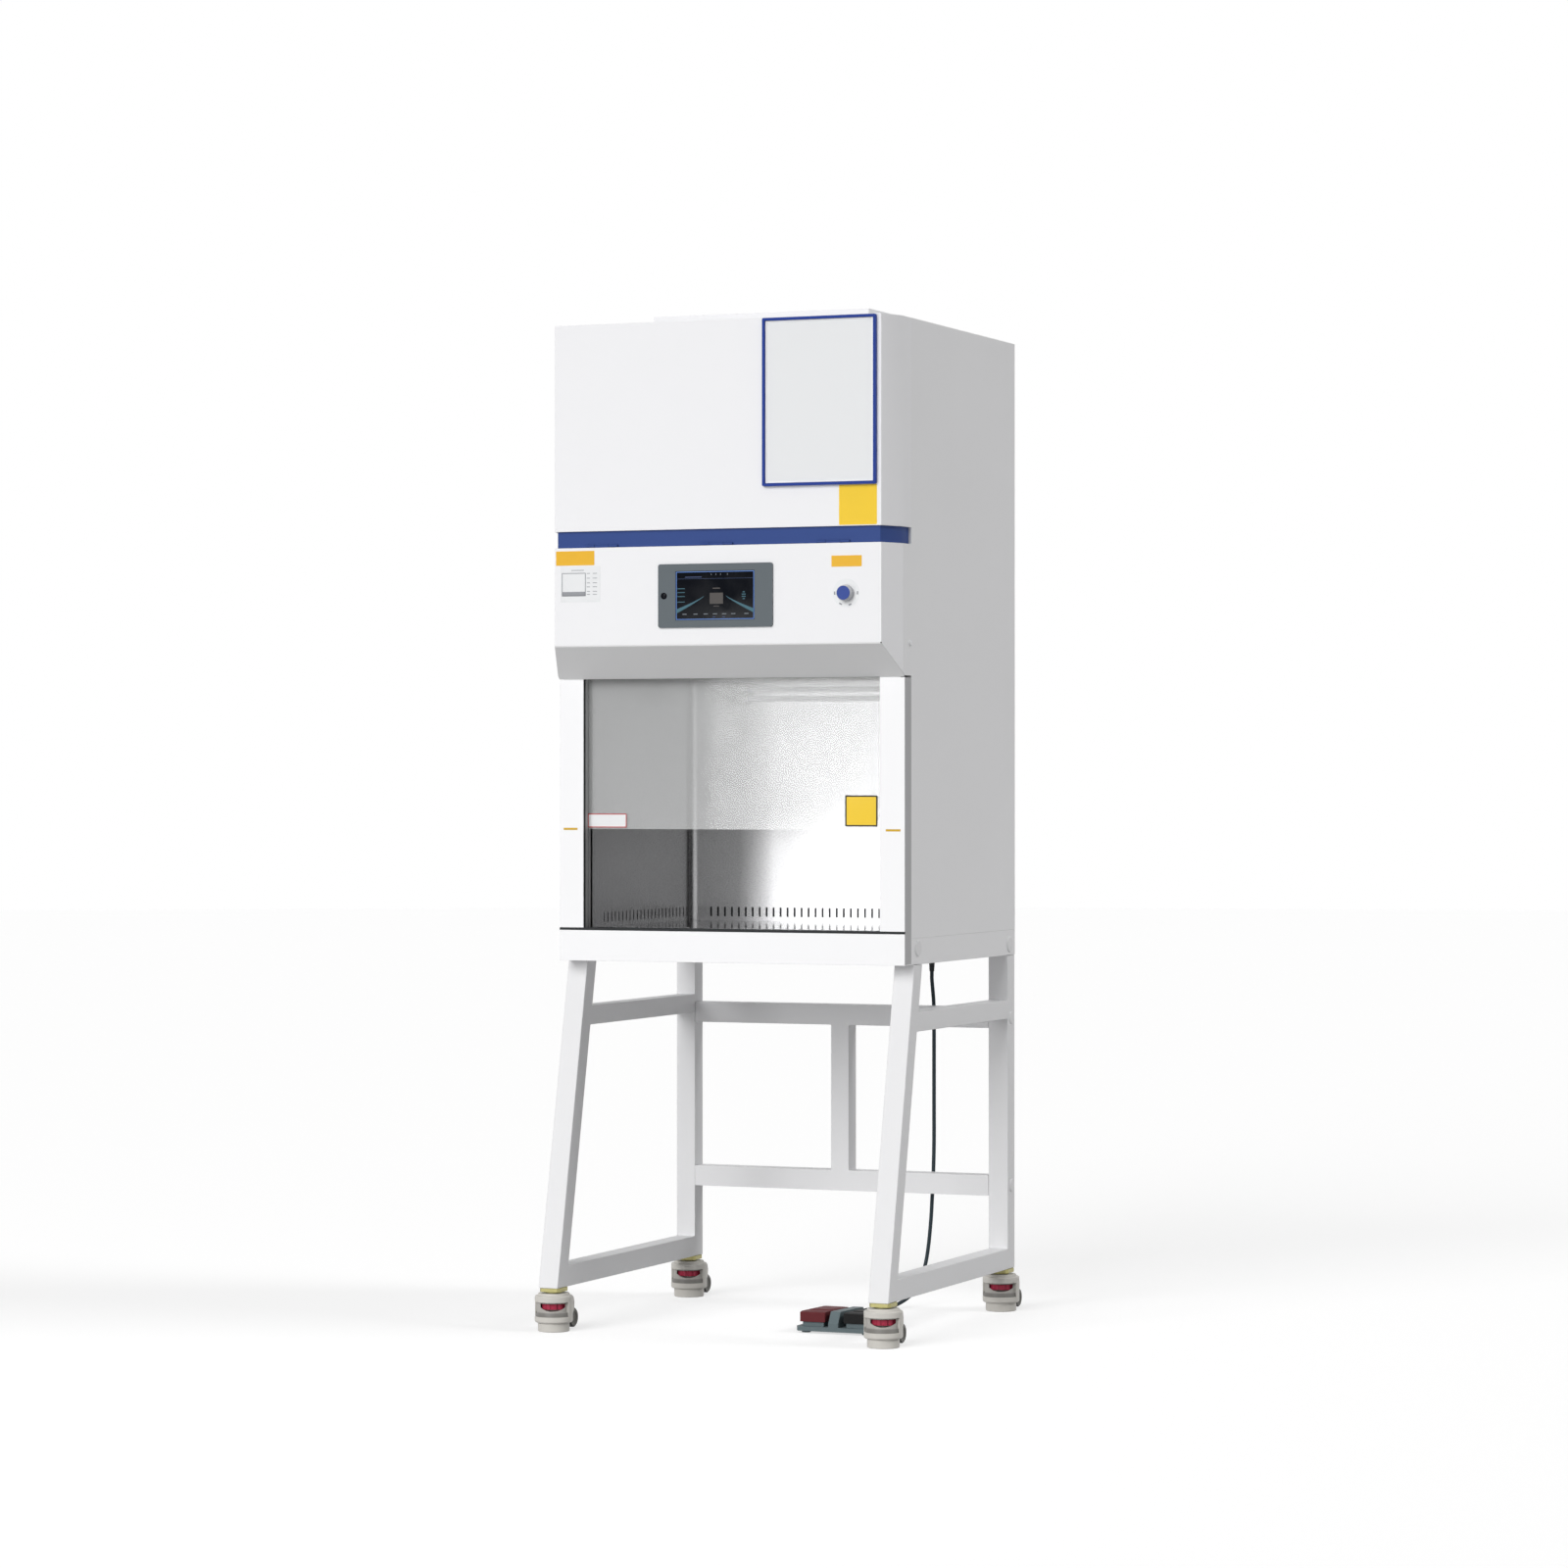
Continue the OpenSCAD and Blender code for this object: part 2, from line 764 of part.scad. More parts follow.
module side_liners() {
    color([0.75, 0.76, 0.77]) both_sides() difference() {
        union() {
            block([chamber_x, liner_y, z_base + sheet], [chamber_x + liner_t, side_rear_y, z_liner]);
            block([chamber_x - rail_w, tray_front, z_work - tray_h - rail_t],
                [chamber_x + eps, side_rear_y, z_work - tray_h]);
        }
        for (i = [0 : slots_side - 1])
            translate([chamber_x - 1, side_slot_y + i * side_pitch - slot_w / 2, slot_z])
                cube([liner_t + 2, slot_w, slot_h]);
        for (i = [0 : pin_holes - 1])
            bar_x(pin_r, chamber_x - 1, chamber_x + liner_t + 1,
                liner_y + pin_in, z_work + pin_up + i * pin_hole_pitch);
    }
}

module lamp_holders() {
    color([0.8, 0.8, 0.8]) both_sides() difference() {
        translate([holder_x, rear_y, uv_z]) rotate([90, 0, 0])
            linear_extrude(holder_d) rounded(holder_w, holder_h, holder_round);
        for (s = [-1, 1])
            bar_x(uv_r + 0.2, 0, uv_end, rear_y - holder_d / 2, uv_z + s * uv_pitch / 2);
    }
}

module uv_tubes() {
    color([0.93, 0.94, 0.98]) for (s = [-1, 1])
        bar_x(uv_r, -uv_end, uv_end, rear_y - holder_d / 2, uv_z + s * uv_pitch / 2);
}

module work_light() {
    color([0.93, 0.94, 0.95]) {
        difference() {
            block([-lamp_half, lamp_back - lamp_d, lamp_z], [lamp_half, lamp_back, lamp_z + lamp_h]);
            block([-lamp_half + lamp_end, lamp_back - lamp_d + sheet, lamp_z - 1],
                [lamp_half - lamp_end, lamp_back - sheet, lamp_z + lamp_h - lamp_end]);
        }
        bar_x(lamp_r, -lamp_half + lamp_end - eps, lamp_half - lamp_end + eps,
            lamp_back - lamp_d / 2, lamp_z + lamp_r + sheet);
        both_sides() {
            block([lamp_half - eps, lamp_back - lamp_end, lamp_z],
                [opening_x + bracket_w, lamp_back, lamp_z + lamp_h]);
            block([opening_x + bracket_in, lamp_back - lamp_end, lamp_z],
                [opening_x + bracket_w, at(sheet), lamp_z + lamp_h]);
        }
    }
}

// ---------- sash and its drive ----------

module sash_guides() {
    color([0.3, 0.31, 0.32]) both_sides() difference() {
        union() {
            block([opening_x, at(guide_front), z_work], [opening_x + guide_w, at(guide_back), z_guide]);
            block([opening_x, at(sheet), z_work],
                [opening_x + sheet / 2, at(guide_front) + eps, z_visor + guide_flap]);
            block([opening_x, at(2 * sheet), z_work],
                [opening_x + 1.5 * sheet, at(guide_front) + eps, z_visor + guide_flap]);
            translate([belt_x - belt_w / 2, shaft_y, belt_low]) rotate([0, 90, 0])
                cylinder(r = pulley_r - 0.1, h = belt_w);
            block([opening_x + guide_w - eps, shaft_y - belt_grip, belt_low - belt_grip],
                [belt_x - belt_w / 2 + eps, shaft_y + belt_grip, belt_low + belt_grip]);
        }
        block([opening_x - 1, glass_y - glass_t / 2 - glass_gap, z_work - 1],
            [glass_x + 1, glass_y + glass_t / 2 + glass_gap, z_guide + 1]);
    }
}

module sash_glass() {
    color([0.8, 0.88, 0.88, 0.4]) block(
        [-glass_x, glass_y - glass_t / 2, z_glass],
        [glass_x, glass_y + glass_t / 2, glass_top]
    );
}

module sash_carrier() {
    z0 = glass_top - clip_depth;
    low = z0 + clamp_low;
    high = low + clamp_h;
    clamp_out = belt_x + belt_w / 2 + clamp_wall;
    color([0.7, 0.71, 0.72]) difference() {
        union() {
            block([-opening_x + clip_edge, at(guide_front), z0],
                [opening_x - clip_edge, at(guide_back), glass_top + carrier_h - clip_depth]);
            both_sides() {
                block([opening_x - carrier_h, at(clamp_front), low],
                    [opening_x - clip_edge, at(guide_front) + eps, high]);
                block([opening_x - carrier_h, at(clamp_front), low], [clamp_out, at(clamp_back), high]);
                block([belt_x - belt_w / 2 - clamp_wall, at(2 * sheet + 2 * clamp_gap), low],
                    [clamp_out, at(clamp_back), high]);
            }
        }
        block([-glass_x, glass_y - glass_t / 2, z0 - 1], [glass_x, glass_y + glass_t / 2, glass_top]);
        both_sides()
            block([belt_x - belt_w / 2 - clamp_gap, shaft_y - belt_r - belt_t / 2 - clamp_gap, z0],
                [belt_x + belt_w / 2 + clamp_gap, shaft_y - belt_r + belt_t / 2 + clamp_gap, high + 1]);
    }
}

module sash_belts() {
    color([0.15, 0.15, 0.16]) both_sides()
        translate([belt_x - belt_w / 2, shaft_y, 0]) rotate([90, 0, 90]) linear_extrude(belt_w) {
            for (s = [-1, 1])
                translate([s * belt_r - belt_t / 2, belt_low]) square([belt_t, shaft_z - belt_low]);
            difference() {
                union() {
                    translate([0, shaft_z]) circle(pulley_r + belt_t);
                    translate([0, belt_low]) circle(pulley_r + belt_t);
                }
                translate([0, shaft_z]) circle(pulley_r);
                translate([0, belt_low]) circle(pulley_r);
                translate([-pulley_r - 0.01, belt_low]) square([2 * pulley_r + 0.02, shaft_z - belt_low]);
            }
        }
}

module sash_shaft() {
    color([0.7, 0.7, 0.72]) {
        bar_x(shaft_r, -belt_x - 8, belt_x + 8, shaft_y, shaft_z);
        both_sides() {
            bar_x(pulley_r - 0.1, belt_x - belt_w / 2, belt_x + belt_w / 2, shaft_y, shaft_z);
            bar_x(pulley_r + 3, belt_x + belt_w / 2 + 0.5, belt_x + belt_w / 2 + 2.5, shaft_y, shaft_z);
        }
    }
}

module sash_motor() {
    color([0.45, 0.46, 0.48]) {
        difference() {
            union() {
                bar_x(drive_r, drive_x, drive_x + drive_len, shaft_y, shaft_z);
                block([drive_x - gear_w, shaft_y - gear_half, shaft_z - gear_half],
                    [drive_x + eps, shaft_y + gear_half, shaft_z + gear_half]);
                block([drive_x - gear_w + hanger_in, shaft_y - hanger_half, shaft_z],
                    [drive_x + drive_len - hanger_end, shaft_y + hanger_half, z_top - sheet]);
            }
            bar_x(shaft_r + running_fit, 0, half, shaft_y, shaft_z);
        }
        both_sides() difference() {
            block([belt_x - belt_w / 2 - bearing_in, shaft_y - bearing_half, shaft_z - bearing_half],
                [belt_x - belt_w / 2 - bearing_in + bearing_w, seam_y - sheet, shaft_z + bearing_half]);
            bar_x(shaft_r + running_fit, 0, half, shaft_y, shaft_z);
        }
    }
}

// ---------- air handling ----------

// A framed filter with folded media between two corners.
module filter(a, b, folds) {
    wall = filter_wall;
    low = a[2] + fold_end;
    high = b[2] - fold_end;
    step = (b[0] - a[0] - 2 * wall) / folds;
    difference() {
        block(a, b);
        block([a[0] + wall, a[1] + wall, a[2] - 1], [b[0] - wall, b[1] - wall, b[2] + 1]);
    }
    translate([0, b[1] - wall, 0]) rotate([90, 0, 0]) linear_extrude(b[1] - a[1] - 2 * wall)
        polygon(concat(
            [for (i = [0 : folds]) [a[0] + wall + i * step, i % 2 == 0 ? low : high - fold_t]],
            [for (i = [folds : -1 : 0]) [a[0] + wall + i * step, i % 2 == 0 ? low + fold_t : high]]
        ));
}

module supply_filter() {
    color([0.86, 0.87, 0.86]) filter([-filter_x, filter_y0, z_supply], [filter_x, filter_y1, z_plenum], 40);
}

module exhaust_filter() {
    color([0.86, 0.87, 0.86]) filter(
        [-collar_x, collar_y, z_exhaust],
        [collar_x, collar_y + collar_d, z_filter_top], 28
    );
}

module blower_housing() {
    color([0.72, 0.73, 0.74]) difference() {
        block([-filter_x, filter_y0, z_plenum], [filter_x, filter_y1, z_exhaust]);
        block([-filter_x + sheet, filter_y0 + sheet, z_plenum - 1],
            [filter_x - sheet, filter_y1 - sheet, z_exhaust - sheet]);
        block([-collar_x + duct_rim, collar_y + duct_rim, z_exhaust - 2 * sheet],
            [collar_x - duct_rim, collar_y + collar_d - duct_rim - sheet, z_exhaust + 1]);
        bar_y(impeller_r * 0.72, filter_y1 - 2 * sheet, filter_y1 + 1, 0, blower_z);
    }
}

module blower_motor() {
    rear = blower_y - impeller_w - motor_gap;
    color([0.42, 0.43, 0.45]) {
        bar_y(motor_r, rear - motor_len, rear, 0, blower_z);
        for (i = [0 : motor_fins - 1])
            bar_y(motor_r + fin_h, rear - fin_start - i * fin_pitch,
                rear - fin_start + fin_t - i * fin_pitch, 0, blower_z);
        bar_y(motor_shaft_r, rear - eps, blower_y - shaft_short, 0, blower_z);
        for (s = [-1, 1])
            block([-filter_x + sheet, rear - strap_start - strap_t, blower_z + s * strap_up - strap_t],
                [filter_x - sheet, rear - strap_start, blower_z + s * strap_up + strap_t]);
    }
}

// Backward-curved wheel on the motor's shaft: back plate, blades, inlet ring.
module impeller() {
    bend = impeller_r * 0.75;
    color([0.55, 0.57, 0.6]) translate([0, blower_y, blower_z]) rotate([90, 0, 0]) {
        difference() {
            union() {
                translate([0, 0, impeller_w - 3]) cylinder(r = impeller_r, h = 3);
                translate([0, 0, impeller_w - 40]) cylinder(r = 22, h = 40);
                rotate_extrude() polygon([
                    [impeller_r * 0.66, 0], [impeller_r * 0.7, 0],
                    [impeller_r, 14], [impeller_r, 17], [impeller_r * 0.66, 3]
                ]);
                intersection() {
                    translate([0, 0, 4]) linear_extrude(impeller_w - 5) for (i = [0 : blades - 1])
                        rotate(i * 360 / blades) translate([impeller_r * 0.5, -bend * 0.62]) difference() {
                            circle(bend);
                            circle(bend - 2.5);
                            translate([-3 * bend, -2 * bend]) square([3 * bend, 4 * bend]);
                            translate([0, -3 * bend]) square([3 * bend, 3 * bend]);
                        }
                    ring(impeller_r - 2, impeller_r * 0.62, impeller_w);
                }
            }
            translate([0, 0, -1]) cylinder(r = motor_shaft_r + running_fit, h = impeller_w + 2);
        }
    }
}

// The collar stands on the exhaust filter and rises through the roof.
module exhaust_collar() {
    grille_z = z_top + grille_up;
    cols = floor((collar_w - 2 * grille_edge) / grille_x);
    rows = floor((collar_d - 2 * grille_edge) / grille_y);
    color([0.93, 0.93, 0.94]) {
        difference() {
            block([-collar_x, collar_y, z_filter_top], [collar_x, collar_y + collar_d, z_collar]);
            block([-collar_x + sheet, collar_y + sheet, z_filter_top - 1],
                [collar_x - sheet, collar_y + collar_d - sheet, z_collar - sheet]);
            block([-collar_x + collar_lip, collar_y + collar_lip, z_filter_top],
                [collar_x - collar_lip, collar_y + collar_d - collar_lip, z_collar + 1]);
        }
        difference() {
            block([-collar_x + 1, collar_y + 1, grille_z],
                [collar_x - 1, collar_y + collar_d - 1, grille_z + sheet]);
            for (i = [0 : cols - 1], j = [0 : rows - 1])
                translate([
                    (i - cols / 2) * grille_x + grille_rib[0] / 2,
                    collar_y + collar_d / 2 + (j - rows / 2) * grille_y + grille_rib[1] / 2,
                    grille_z - 1
                ]) cube([grille_x - grille_rib[0], grille_y - grille_rib[1], sheet + 2]);
        }
    }
}

// ---------- stand ----------

// Side outline of a front leg between two levels, w thinner than the tube.
module leg_outline(w) {
    lean = leg_splay / (stand_h - caster_h);
    y0 = foot_front_y + w * sqrt(1 + lean * lean);
    y1 = foot_front_y + (tube - w) * sqrt(1 + lean * lean);
    low = w > 0 ? w : 0;
    high = w > 0 ? stand_h - caster_h + 1 : stand_h - caster_h;
    polygon([
        [y0 + low * lean, caster_h + low], [y1 + low * lean, caster_h + low],
        [y1 + high * lean, caster_h + high], [y0 + high * lean, caster_h + high]
    ]);
}

// Two legs and two rails, grown inwards by w: 0 outside, tube_wall inside.
module side_frame_solid(w) {
    x0 = stand_x - tube + w;
    x1 = stand_x - w;
    y_mid = foot_front_y + (mid_rail_z - caster_h) * leg_splay / (stand_h - caster_h) + tube / 2;
    translate([x0, 0, 0]) rotate([90, 0, 90]) linear_extrude(x1 - x0) leg_outline(w);
    block([x0, rear_leg_y - tube + w, caster_h + w], [x1, rear_leg_y - w, stand_h + (w > 0 ? 1 : 0)]);
    block([x0, foot_front_y + tube / 2 + 6, caster_h + w], [x1, rear_leg_y - tube / 2, caster_h + tube - w]);
    block([x0, y_mid, mid_rail_z + w], [x1, rear_leg_y - tube / 2, mid_rail_z + mid_rail - w]);
}

module side_frames() {
    color([0.92, 0.92, 0.93]) both_sides() difference() {
        side_frame_solid(0);
        side_frame_solid(tube_wall);
    }
}

// A square tube along X between the side frames.
module cross_tube(z) {
    x = stand_x - tube;
    difference() {
        block([-x, rear_leg_y - tube, z], [x, rear_leg_y, z + tube]);
        block([-x - 1, rear_leg_y - tube + tube_wall, z + tube_wall],
            [x + 1, rear_leg_y - tube_wall, z + tube - tube_wall]);
    }
}

module rear_beams() {
    color([0.88, 0.88, 0.89]) {
        cross_tube(upper_beam_z);
        cross_tube(lower_beam_z);
        difference() {
            block([-strut_w / 2, rear_leg_y - tube, lower_beam_z + tube],
                [strut_w / 2, rear_leg_y, upper_beam_z]);
            block([-strut_w / 2 + tube_wall, rear_leg_y - tube + tube_wall, lower_beam_z],
                [strut_w / 2 - tube_wall, rear_leg_y - tube_wall, upper_beam_z + 1]);
        }
    }
}

module cap(r, x, y, z) {
    translate([x, y, z]) rotate([0, 90, 0]) rotate_extrude()
        polygon([[0, 0], [r, 0], [r, 1], [r - 1.5, 2.5], [0, 3]]);
}

module bolt_caps() {
    color([0.88, 0.88, 0.89]) both_sides() {
        cap(13.5, stand_x, rear_leg_y - tube / 2, upper_beam_z + tube / 2);
        cap(13.5, stand_x, rear_leg_y - tube / 2, lower_beam_z + tube / 2);
        cap(16.5, half, seam_y + 36, z_base + base_h / 2 + 6);
        cap(16.5, half, back_y - 35, z_base + base_h / 2 - 4);
    }
}

// ---------- casters ----------

function caster_at(c) = [c[0] * caster_x, at(c[1] == 0 ? caster_front_d : caster_rear_d), 0];

module caster_plates() {
    w = plate_w / 2;
    cut = w - plate_cut;
    color([0.74, 0.71, 0.45]) for (c = casters) translate(caster_at(c)) {
        translate([0, 0, caster_h - plate_t]) linear_extrude(plate_t) polygon([
            [-w, -cut], [-cut, -w], [cut, -w], [w, -cut], [w, cut], [cut, w], [-cut, w], [-w, cut]
        ]);
        translate([0, 0, ring_top + seam_gap])
            cylinder(r = pivot_r, h = caster_h - plate_t - ring_top);
    }
}

// Round a corner of a revolved outline: quarter arc about [x, z].
function bend(x, z, r, from) = [
    for (a = [from : 22.5 : from + 90]) [x + r * cos(a), z + r * sin(a)]
];

// Die-cast housing: a barrel with a flange at each end and a waist in front,
// a window for the thumbwheel, and arms that carry the twin wheels' axle.
module caster_housing() {
    edge = 4;
    color([0.82, 0.81, 0.78]) difference() {
        union() {
            rotate_extrude() polygon(concat(
                [[0, flange_z]],
                bend(ring_r - edge, flange_z + edge, edge, -90),
                [[ring_r, collar_z - 2], [ring_r - 1.5, collar_z], [ring_r - 6, collar_z + 1]],
                bend(ring_r - 8.5, ring_top - 2, 2, 0),
                [[0, ring_top]]
            ));
            translate([-shroud_half, 0, 0]) rotate([90, 0, 90])
                linear_extrude(2 * shroud_half) polygon([
                    [0, flange_z], [27, flange_z], [34, 27], [40, 40], [41, 56],
                    [37, 66], [28, ring_top - 6], [0, ring_top - 4]
                ]);
            translate([-web_half, 0, 0]) rotate([90, 0, 90]) linear_extrude(2 * web_half) {
                polygon([
                    [0, flange_z], [wheel_trail - 9, flange_z - 6], [wheel_trail + 7, wheel_z - 8],
                    [wheel_trail + 9, wheel_z + 3], [wheel_trail - 4, wheel_z + 16], [0, 54]
                ]);
                translate([wheel_trail, wheel_z]) circle(9);
            }
        }
        rotate(-90 - waist_half) rotate_extrude(angle = 2 * waist_half) polygon([
            [waist_r, neck_z + 2], [waist_r + 0.7, neck_z], [ring_r - 1.5, flange_z + flange_h],
            [ring_r + 1, flange_z + flange_h - 1], [ring_r + 1, shoulder_z], [waist_r, shoulder_z]
        ]);
        translate([0, 0, flange_z - 20]) cylinder(r = pad_r + thumb_gap, h = recess_z - flange_z + 20);
        cylinder(r = stem_r + running_fit, h = ring_top - stem_cap);
        translate([0, 0, thumb_z - thumb_gap])
            cylinder(r = thumb_r + 2 * thumb_gap, h = thumb_h + 2 * thumb_gap);
        rotate(window_turn) intersection() {
            translate([-window_half, -ring_r - 1, window_low])
                cube([2 * window_half, ring_r + 1, window_high - window_low]);
            bar_y(window_r, -ring_r - 2, -thumb_r / 2, 0, window_low + window_r);
        }
        bar_x(axle_r + running_fit, -half, half, wheel_trail, wheel_z);
        both_sides()
            bar_x(wheel_r + 1.5, web_half, ring_r, wheel_trail, wheel_z);
    }
}

module caster_wheels() {
    color([0.13, 0.13, 0.14]) translate([0, wheel_trail, wheel_z]) {
        both_sides() rotate([0, 90, 0]) rotate_extrude() polygon([
            [0, web_half + 0.4], [wheel_r - 1.5, web_half + 0.4], [wheel_r, web_half + 2],
            [wheel_r, web_half + wheel_t - 2], [wheel_r - 2, web_half + wheel_t],
            [wheel_r * 0.6, web_half + wheel_t], [wheel_r * 0.55, web_half + wheel_t - 1.5],
            [0, web_half + wheel_t - 1.5]
        ]);
        rotate([0, 90, 0]) cylinder(r = axle_r, h = 2 * (web_half + 2), center = true);
    }
}

module thumbwheel() {
    color([0.72, 0.18, 0.27]) difference() {
        translate([0, 0, thumb_z]) cylinder(r = thumb_r, h = thumb_h);
        translate([0, 0, thumb_z - 1]) cylinder(r = stem_r + running_fit, h = thumb_h + 2);
        for (i = [0 : thumb_lobes - 1])
            rotate((i + 0.5) * 360 / thumb_lobes) translate([thumb_r + lobe_out, 0, thumb_z - 1])
                cylinder(r = lobe_r, h = thumb_h + 2);
    }
}

module levelling_pad() {
    color([0.8, 0.79, 0.76]) {
        rotate_extrude() polygon([
            [0, 0], [pad_r - 1, 0], [pad_r, 1], [pad_r, pad_h - 1], [pad_r - 1, pad_h], [0, pad_h]
        ]);
        cylinder(r = stem_r, h = shoulder_z + 4);
    }
}

// ---------- foot switch ----------

module foot_base() {
    x0 = foot_x - foot_w / 2;
    x1 = foot_x + foot_w / 2;
    top = foot_feet + foot_plate;
    block_half = pedal_w / 2 - pedal_wall - pedal_gap;
    block_y = foot_y + pedal_front + pedal_wall + pedal_gap;
    color([0.36, 0.4, 0.42]) {
        // plate with its two front corners cut
        translate([0, 0, foot_feet]) linear_extrude(foot_plate) polygon([
            [x0 + foot_cut[0], foot_y], [x1 - foot_cut[0], foot_y], [x1, foot_y + foot_cut[1]],
            [x1, foot_y + foot_d], [x0, foot_y + foot_d], [x0, foot_y + foot_cut[1]]
        ]);
        for (x = [x0 + 2 * foot_feet_r, x1 - 2 * foot_feet_r],
            y = [foot_y + 2 * foot_feet_r, foot_y + foot_d - 2 * foot_feet_r])
            translate([x, y, 0]) cylinder(r = foot_feet_r, h = foot_feet + eps);
        // blocks that the pedals fit over
        for (s = [-1, 1])
            block([foot_x + s * pedal_mid - block_half, block_y, top - eps],
                [foot_x + s * pedal_mid + block_half, foot_y + foot_d - lug_d, pedal_z + 2]);
        // lugs that carry the pedals' pin
        for (s = [-1, 1])
            block([foot_x + s * pedal_mid - lug_w / 2, pedal_pin_y - lug_d / 2, top - eps],
                [foot_x + s * pedal_mid + lug_w / 2, pedal_pin_y + lug_d / 2, pedal_pin_z + lug_d / 2]);
        bar_x(pedal_pin_r, foot_x - pedal_mid - pedal_w / 2 + 1, foot_x + pedal_mid + pedal_w / 2 - 1,
            pedal_pin_y, pedal_pin_z);
        // outlet of the cable
        block([outlet_x - outlet_block[0] / 2, foot_y + foot_d - outlet_block[1], top - eps],
            [outlet_x + outlet_block[0] / 2, foot_y + foot_d, top + outlet_block[2]]);
        // arched bridge between the pedals
        translate([foot_x - bridge_w / 2, 0, 0]) rotate([90, 0, 90]) linear_extrude(bridge_w) polygon([
            [foot_y, top - eps], [foot_y, top + 8], [foot_y + 15, foot_h + 1],
            [foot_y + foot_d - 12, foot_h - 2], [foot_y + foot_d - 2, foot_h - 10],
            [foot_y + foot_d - 2, top - eps]
        ]);
    }
}

// A hollow pedal that turns on the pin at its rear.
module pedal(s) {
    x0 = foot_x + s * pedal_mid - pedal_w / 2;
    x1 = foot_x + s * pedal_mid + pedal_w / 2;
    y0 = foot_y + pedal_front;
    y1 = y0 + pedal_len;
    tread_y = foot_y + foot_d * 0.3;
    difference() {
        union() {
            translate([x0, 0, 0]) rotate([90, 0, 90]) linear_extrude(x1 - x0) polygon([
                [y0, pedal_z], [y1 - 4, pedal_z], [y1, pedal_z + 4], [y1, foot_h - 9],
                [y1 - 8, foot_h - 3], [y0 + 8, foot_h], [y0, foot_h - 2]
            ]);
            translate([x0 + tread_in, 0, 0]) rotate([90, 0, 90])
                linear_extrude(x1 - x0 - 2 * tread_in) polygon([
                    [tread_y, foot_h - 3], [y1 - 14, foot_h - 3],
                    [y1 - 14, foot_h - 3 + tread_t], [tread_y, foot_h + tread_t - 0.5]
                ]);
        }
        block([x0 + pedal_wall, y0 + pedal_wall, pedal_z - 1],
            [x1 - pedal_wall, y1 - pedal_wall, foot_h - 3 - pedal_wall]);
        bar_x(pedal_pin_r + running_fit, x0 - 1, x1 + 1, pedal_pin_y, pedal_pin_z);
    }
}

module red_pedal() {
    color([0.43, 0.2, 0.22]) pedal(-1);
}

module black_pedal() {
    color([0.15, 0.15, 0.15]) pedal(1);
}

// ---------- cable ----------

function unit(v) = v / norm(v);

// Direction of the route at point i.
function heading(path, i) = unit(
    path[min(i + 1, len(path) - 1)] - path[max(i - 1, 0)]
);

// One ring of the swept tube around path[i], kept level with the X axis.
function tube_ring(path, i, r, sides) =
    let (
        dir = heading(path, i),
        u = unit(cross(dir, [1, 0.2, 0])),
        v = cross(dir, u)
    )
    [for (k = [0 : sides - 1]) path[i] + r * (cos(360 * k / sides) * u + sin(360 * k / sides) * v)];

module swept_tube(path, d, sides) {
    n = len(path);
    points = [for (i = [0 : n - 1]) each tube_ring(path, i, d / 2, sides)];
    sides_faces = [
        for (i = [0 : n - 2], k = [0 : sides - 1])
            let (a = i * sides + k, b = i * sides + (k + 1) % sides)
            each [[a, b, b + sides], [a, b + sides, a + sides]]
    ];
    ends = [
        [for (k = [sides - 1 : -1 : 0]) k],
        [for (k = [0 : sides - 1]) (n - 1) * sides + k]
    ];
    polyhedron(points, concat(sides_faces, ends), convexity = 10);
}

// Points of a smooth curve through the route, two more between each pair.
function spline(p, i, t) =
    let (
        a = p[max(i - 1, 0)], b = p[i],
        c = p[i + 1], d = p[min(i + 2, len(p) - 1)]
    )
    0.5 * ((2 * b) + (c - a) * t + (2 * a - 5 * b + 4 * c - d) * t * t
        + (3 * b - a - 3 * c + d) * t * t * t);
cable_path = [
    for (i = [0 : len(cable_route) - 2], t = [0, 0.5]) spline(cable_route, i, t),
    cable_route[len(cable_route) - 1]
];

module foot_cable() {
    color([0.18, 0.22, 0.24]) swept_tube(cable_path, cable_d, 8);
}

// Tapered strain reliefs where the cable leaves the cabinet and the switch.
module cable_glands() {
    end_r = cable_d / 2 + gland_wall;
    color([0.12, 0.13, 0.13]) {
        translate([gland_x, gland_y, z_base - gland_nut])
            cylinder(r = gland_nut_r, h = gland_nut);
        translate([gland_x, gland_y, z_base - gland_nut - gland_boot]) rotate_extrude() polygon([
            [0, 0], [end_r, 0], [gland_boot_r, gland_boot + eps], [0, gland_boot + eps]
        ]);
        translate([outlet_x, foot_y + foot_d, outlet_z]) rotate([-90, 0, 0]) rotate_extrude()
            polygon([[0, 0], [gland_tail_r, 0], [end_r, gland_tail], [0, gland_tail]]);
    }
}

// ---------- drawing ----------

module at_caster(i) {
    translate(caster_at(casters[i])) children();
}

side_panels();
back_panel();
top_panel();
base_frame();
front_fascia();
front_posts();
sill_strip();
hood_side_strips();
work_tray();
rear_liner();
side_liners();
supply_filter();
exhaust_filter();
blower_housing();
blower_motor();
impeller();
exhaust_collar();
upper_hood_cover();
blue_band();
panel_frame();
sash_guides();
sash_glass();
sash_carrier();
sash_motor();
sash_belts();
sash_shaft();
lamp_holders();
uv_tubes();
work_light();
control_cover();
visor();
cover_hinges();
screen_bezel();
touch_screen();
selector_knob();
side_frames();
rear_beams();
bolt_caps();
caster_plates();
at_caster(0) caster_housing();  // caster_housing_fl
at_caster(1) caster_housing();  // caster_housing_fr
at_caster(2) caster_housing();  // caster_housing_rl
at_caster(3) caster_housing();  // caster_housing_rr
at_caster(0) caster_wheels();  // caster_wheels_fl
at_caster(1) caster_wheels();  // caster_wheels_fr
at_caster(2) caster_wheels();  // caster_wheels_rl
at_caster(3) caster_wheels();  // caster_wheels_rr
